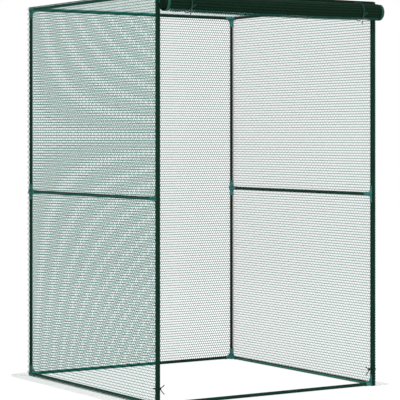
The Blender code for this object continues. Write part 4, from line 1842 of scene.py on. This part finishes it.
def cord_tube(name: str, path: np.ndarray, radius: float, looped: bool = False,
              corners: int = 12) -> Object:
    """Make a round closed tube along a path, its open ends rounded, its map round and along it.

    Args:
        name: The object's name.
        path: The points that it follows.
        radius: Its radius.
        looped: Whether the path closes on itself.
        corners: How many corners it has round it.

    Returns:
        The object.
    """
    ways = (np.roll(path, -1, axis=0) - np.roll(path, 1, axis=0) if looped
            else np.gradient(path, axis=0))
    ways /= np.linalg.norm(ways, axis=1)[:, None]
    side, sides = np.cross(ways[0], (0.31, 0.53, 0.79)), []
    for way in ways:
        side = side - way * np.dot(side, way)
        side = side / np.linalg.norm(side)
        sides.append(side)
    frames = [np.array(sides), np.cross(ways, sides)]
    size, lengths = np.full(len(path), radius), travelled(path)
    if not looped:
        deep, wide = radius * np.array([(0.0, 0.35, 0.75), (0.35, 0.75, 0.95)])
        kept = (lengths > radius) & (lengths < lengths[-1] - radius)
        frames = [np.concatenate([part[[0, 0, 0]], part[kept], part[[-1, -1, -1]]])
                  for part in frames]
        size = np.concatenate([wide, size[kept], wide[::-1]])
        path = np.concatenate([path[0] + ways[0] * deep[:, None], path[kept],
                               path[-1] - ways[-1] * deep[::-1, None]])
        lengths = travelled(path)
    turns = (np.arange(corners) * tau / corners)[:, None]
    rings = path[:, None] + size[:, None, None] * (np.cos(turns) * frames[0][:, None]
                                                   + np.sin(turns) * frames[1][:, None])
    index = np.arange(len(path) * corners).reshape(-1, corners)
    after = np.roll(index, -1, axis=1)
    walls = np.stack([index, after, *(np.roll(row, -1, axis=0) for row in (after, index))], axis=-1)
    left, right = (np.arange(start, start + corners) * tau * radius / corners for start in (0, 1))
    low, high = lengths[:, None], np.append(lengths[1:], lengths[-1] + radius)[:, None]
    chart = np.stack([points(left, low), points(right, low), points(right, high),
                      points(left, high)], axis=2)
    if looped:
        return mesh_object(name, rings.reshape(-1, 3), [walls.reshape(-1, 4)], chart)
    caps, blank = np.stack([index[0, ::-1], index[-1]]), np.zeros((2 * corners, 2))
    item = mesh_object(name, rings.reshape(-1, 3), [walls[:-1].reshape(-1, 4), caps],
                       np.concatenate([chart[:-1].reshape(-1, 2), blank]))
    for cap in item.data.polygons[-2:]:
        cap.use_smooth = False
    return item


@dataclass
class Ties:
    """The cords that hold the roll up and draw the net to the front posts."""

    layout: Layout
    radius: float = 0.002
    knot_reach: float = 0.0048
    post_knot_reach: float = 0.0064
    fit_gap: float = 0.0003
    roll_layer: float = 0.0014
    roll_sag: float = 0.0004
    roll_inset: float = 0.123
    roll_knot_turn: float = 0.42  # how far below the roll's axis the knot sits, as an angle
    over_start: float = 0.60 * pi  # where the cord meets the roll, as an angle round its axis
    under_end: float = 1.93 * pi  # where it leaves the roll
    roll_tail: float = 0.044
    door_back: float = 0.0161
    door_front: float = 0.0175
    tape_thickness: float = 0.0012
    tape_front: float = 0.0115
    post_tape_width: float = 0.019
    post_height: float = 0.080
    post_tail: float = 0.030
    slot_height: float = 0.009
    step: float = 0.0012

    def knot(self, node: str, centre: Point, turn: float, size: float) -> Object:
        """Tie a small knot.

        Args:
            node: The node that it stands for.
            centre: Where it sits.
            turn: How far it is turned about Z.
            size: How far it reaches from its centre.

        Returns:
            The knot.
        """
        share, thin = np.linspace(0.0, tau, 60, endpoint=False), size / 3
        loops = points(np.sin(share) + 2 * np.sin(2 * share), -1.6 * np.sin(3 * share),
                       np.cos(share) - 2 * np.cos(2 * share)) * ((size - thin) / 3)
        spin = np.array(Matrix.Rotation(turn, 3, "Z"))
        return cord_tube(f"{node}_knot", np.array(centre) + loops @ spin.T, thin, True, 10)

    def tie(self, node: str, finish: Finish, slot: Slot, knot: Object,
            runs: Sequence[tuple[str, Sequence[Point], int, str, str]]) -> None:
        """Args:
            node: The node that it stands for.
            finish: The cord's finish.
            slot: The record's material slot.
            knot: Its knot, which sits on the first run.
            runs: Each run's name, the points that it passes through, 0 if it leaves at its start
                or -1 at its end, what its other end is, and how it lies.
        """
        pieces, lengths = [dress(knot, finish, slot, [node])], []
        for word, route, exit_at, far_end, lay in runs:
            path = smooth_route(route, self.step)
            item = dress(cord_tube(f"{node}_{word}", path, self.radius), finish, slot, [node])
            lengths.append(float(travelled(path)[-1]))
            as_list(pieces)
            pieces = []
        LOG.info("%s: runs of %s m", node, [round(length, 3) for length in lengths])

    def roll_tie(self, side: Side) -> None:
        """Add the cord that holds one end of the roll.

        Args:
            side: Which end.
        """
        at, gap, (axis_y, axis_z) = self.layout, self.fit_gap, ROLL_CENTRE
        clear = ROLL_RADIUS + self.roll_layer / 2 + gap + self.roll_sag + self.radius
        behind = at.front_y - self.door_back + gap + self.radius
        sewn_back = at.high_z + at.net_inside - self.tape_thickness - self.radius
        sewn_front = at.front_y - self.door_front - gap - self.radius
        away, inner = self.knot_reach, self.knot_reach / 3
        x = side.value * (at.post_x - self.roll_inset)

        def round_roll(start: float, end: float, steps: int) -> list[Point]:
            """Points on an arc round the roll, from one angle to another."""
            return [(x, axis_y + clear * cos(turn), axis_z + clear * sin(turn))
                    for turn in np.linspace(start, end, steps + 1)]

        lift, turn = inner / clear, pi + self.roll_knot_turn
        reach = clear + self.knot_reach - self.radius
        knot = np.array((x, axis_y + reach * cos(turn), axis_z + reach * sin(turn)))
        over = [(x, sewn_front, at.high_z), *round_roll(self.over_start, turn - lift, 6),
                knot + (2 * away, -away / 2, away), knot + (3.4 * away, -away / 2, 2.8 * away)]
        under = [*round_roll(turn + lift, self.under_end, 8), (x, behind, axis_z + clear / 3),
                 (x, behind, sewn_back)]
        fall = [knot + (0, 0, -inner), knot + (-away, -away / 3, -2 * away),
                knot + (-2.8 * away, 0, -self.roll_tail)]
        node = f"roll_tie_{side.word}"
        self.tie(node, GREEN_TIE, Slot.GREEN_CORD, self.knot(node, knot, 0.0, away), [
            ("over", over, 0, "bare", "taut"), ("under", under, -1, "knot", "taut"),
            ("tail", fall, 0, "bare", "hanging")])

    def post_tie(self, side: Side) -> None:
        """Add the cord round one front post near the ground, drawn from the right post's axis.

        Args:
            side: Which post.
        """
        at, gap, reach = self.layout, self.fit_gap, self.post_knot_reach
        clear, inner, tail = self.radius + 2 * gap, reach / 3, self.post_tail
        tape_edge = at.net_outside - self.post_tape_width
        slot_y = at.tube_radius + gap + self.slot_height / 2
        behind = at.tube_radius + clear
        knot = np.array((-behind - reach, 0.0, 0.0))

        def bend(x: float, start: float, end: float) -> list[Point]:
            """Points on a quarter turn of the cord round an edge of the tape."""
            return [(x + clear * cos(turn), -self.tape_front + clear * sin(turn), 0.0)
                    for turn in np.linspace(start, end, 4)]

        loop = [knot + (0, -inner, 0), *bend(tape_edge, pi, 1.5 * pi),
                *bend(at.net_outside, 1.5 * pi, tau),
                (at.net_outside + clear, slot_y - 2 * clear, 0),
                (at.net_outside + clear / 2, slot_y - clear / 2, 0), (at.net_inside, slot_y, 0),
                (behind / 2, slot_y, 0), (-behind / 2, behind, 0), knot + (0, inner, 0),
                knot + (-2 * reach, 0, reach), knot + (-0.7 * tail, 0, 0.45 * tail)]
        fall = [knot + (0, 0, -inner), knot + (-reach, 0, -2 * reach),
                knot + (-0.7 * tail, 0, -0.95 * tail)]
        corner = np.array((at.post_x, at.front_y, self.post_height))
        loop, fall, (knot,) = ((corner + np.array(route)) * (side.value, 1.0, 1.0)
                               for route in (loop, fall, [knot]))
        node = f"post_tie_{side.word}"
        self.tie(node, BLACK_TIE, Slot.BLACK_CORD, self.knot(node, knot, pi / 2, reach), [
            ("loop", loop, 0, "bare", "taut"), ("tail", fall, 0, "bare", "hanging")])

    def build(self) -> None:
        """Add the four ties."""
        for side in Side:
            self.roll_tie(side)
            self.post_tie(side)


def main() -> None:
    """Build the scene."""
    logging.basicConfig(level=logging.INFO, format="%(message)s")
    layout = Layout.from_frame()
    Studio().build()
    Ties(layout).build()
    TubeFrame().build(layout)
    Sockets().build(layout)
    NetCover(layout).build()
    Skirts().build()
    DoorwayTapes().build()
    RolledDoor().build()


if __name__ == "__main__":
    main()
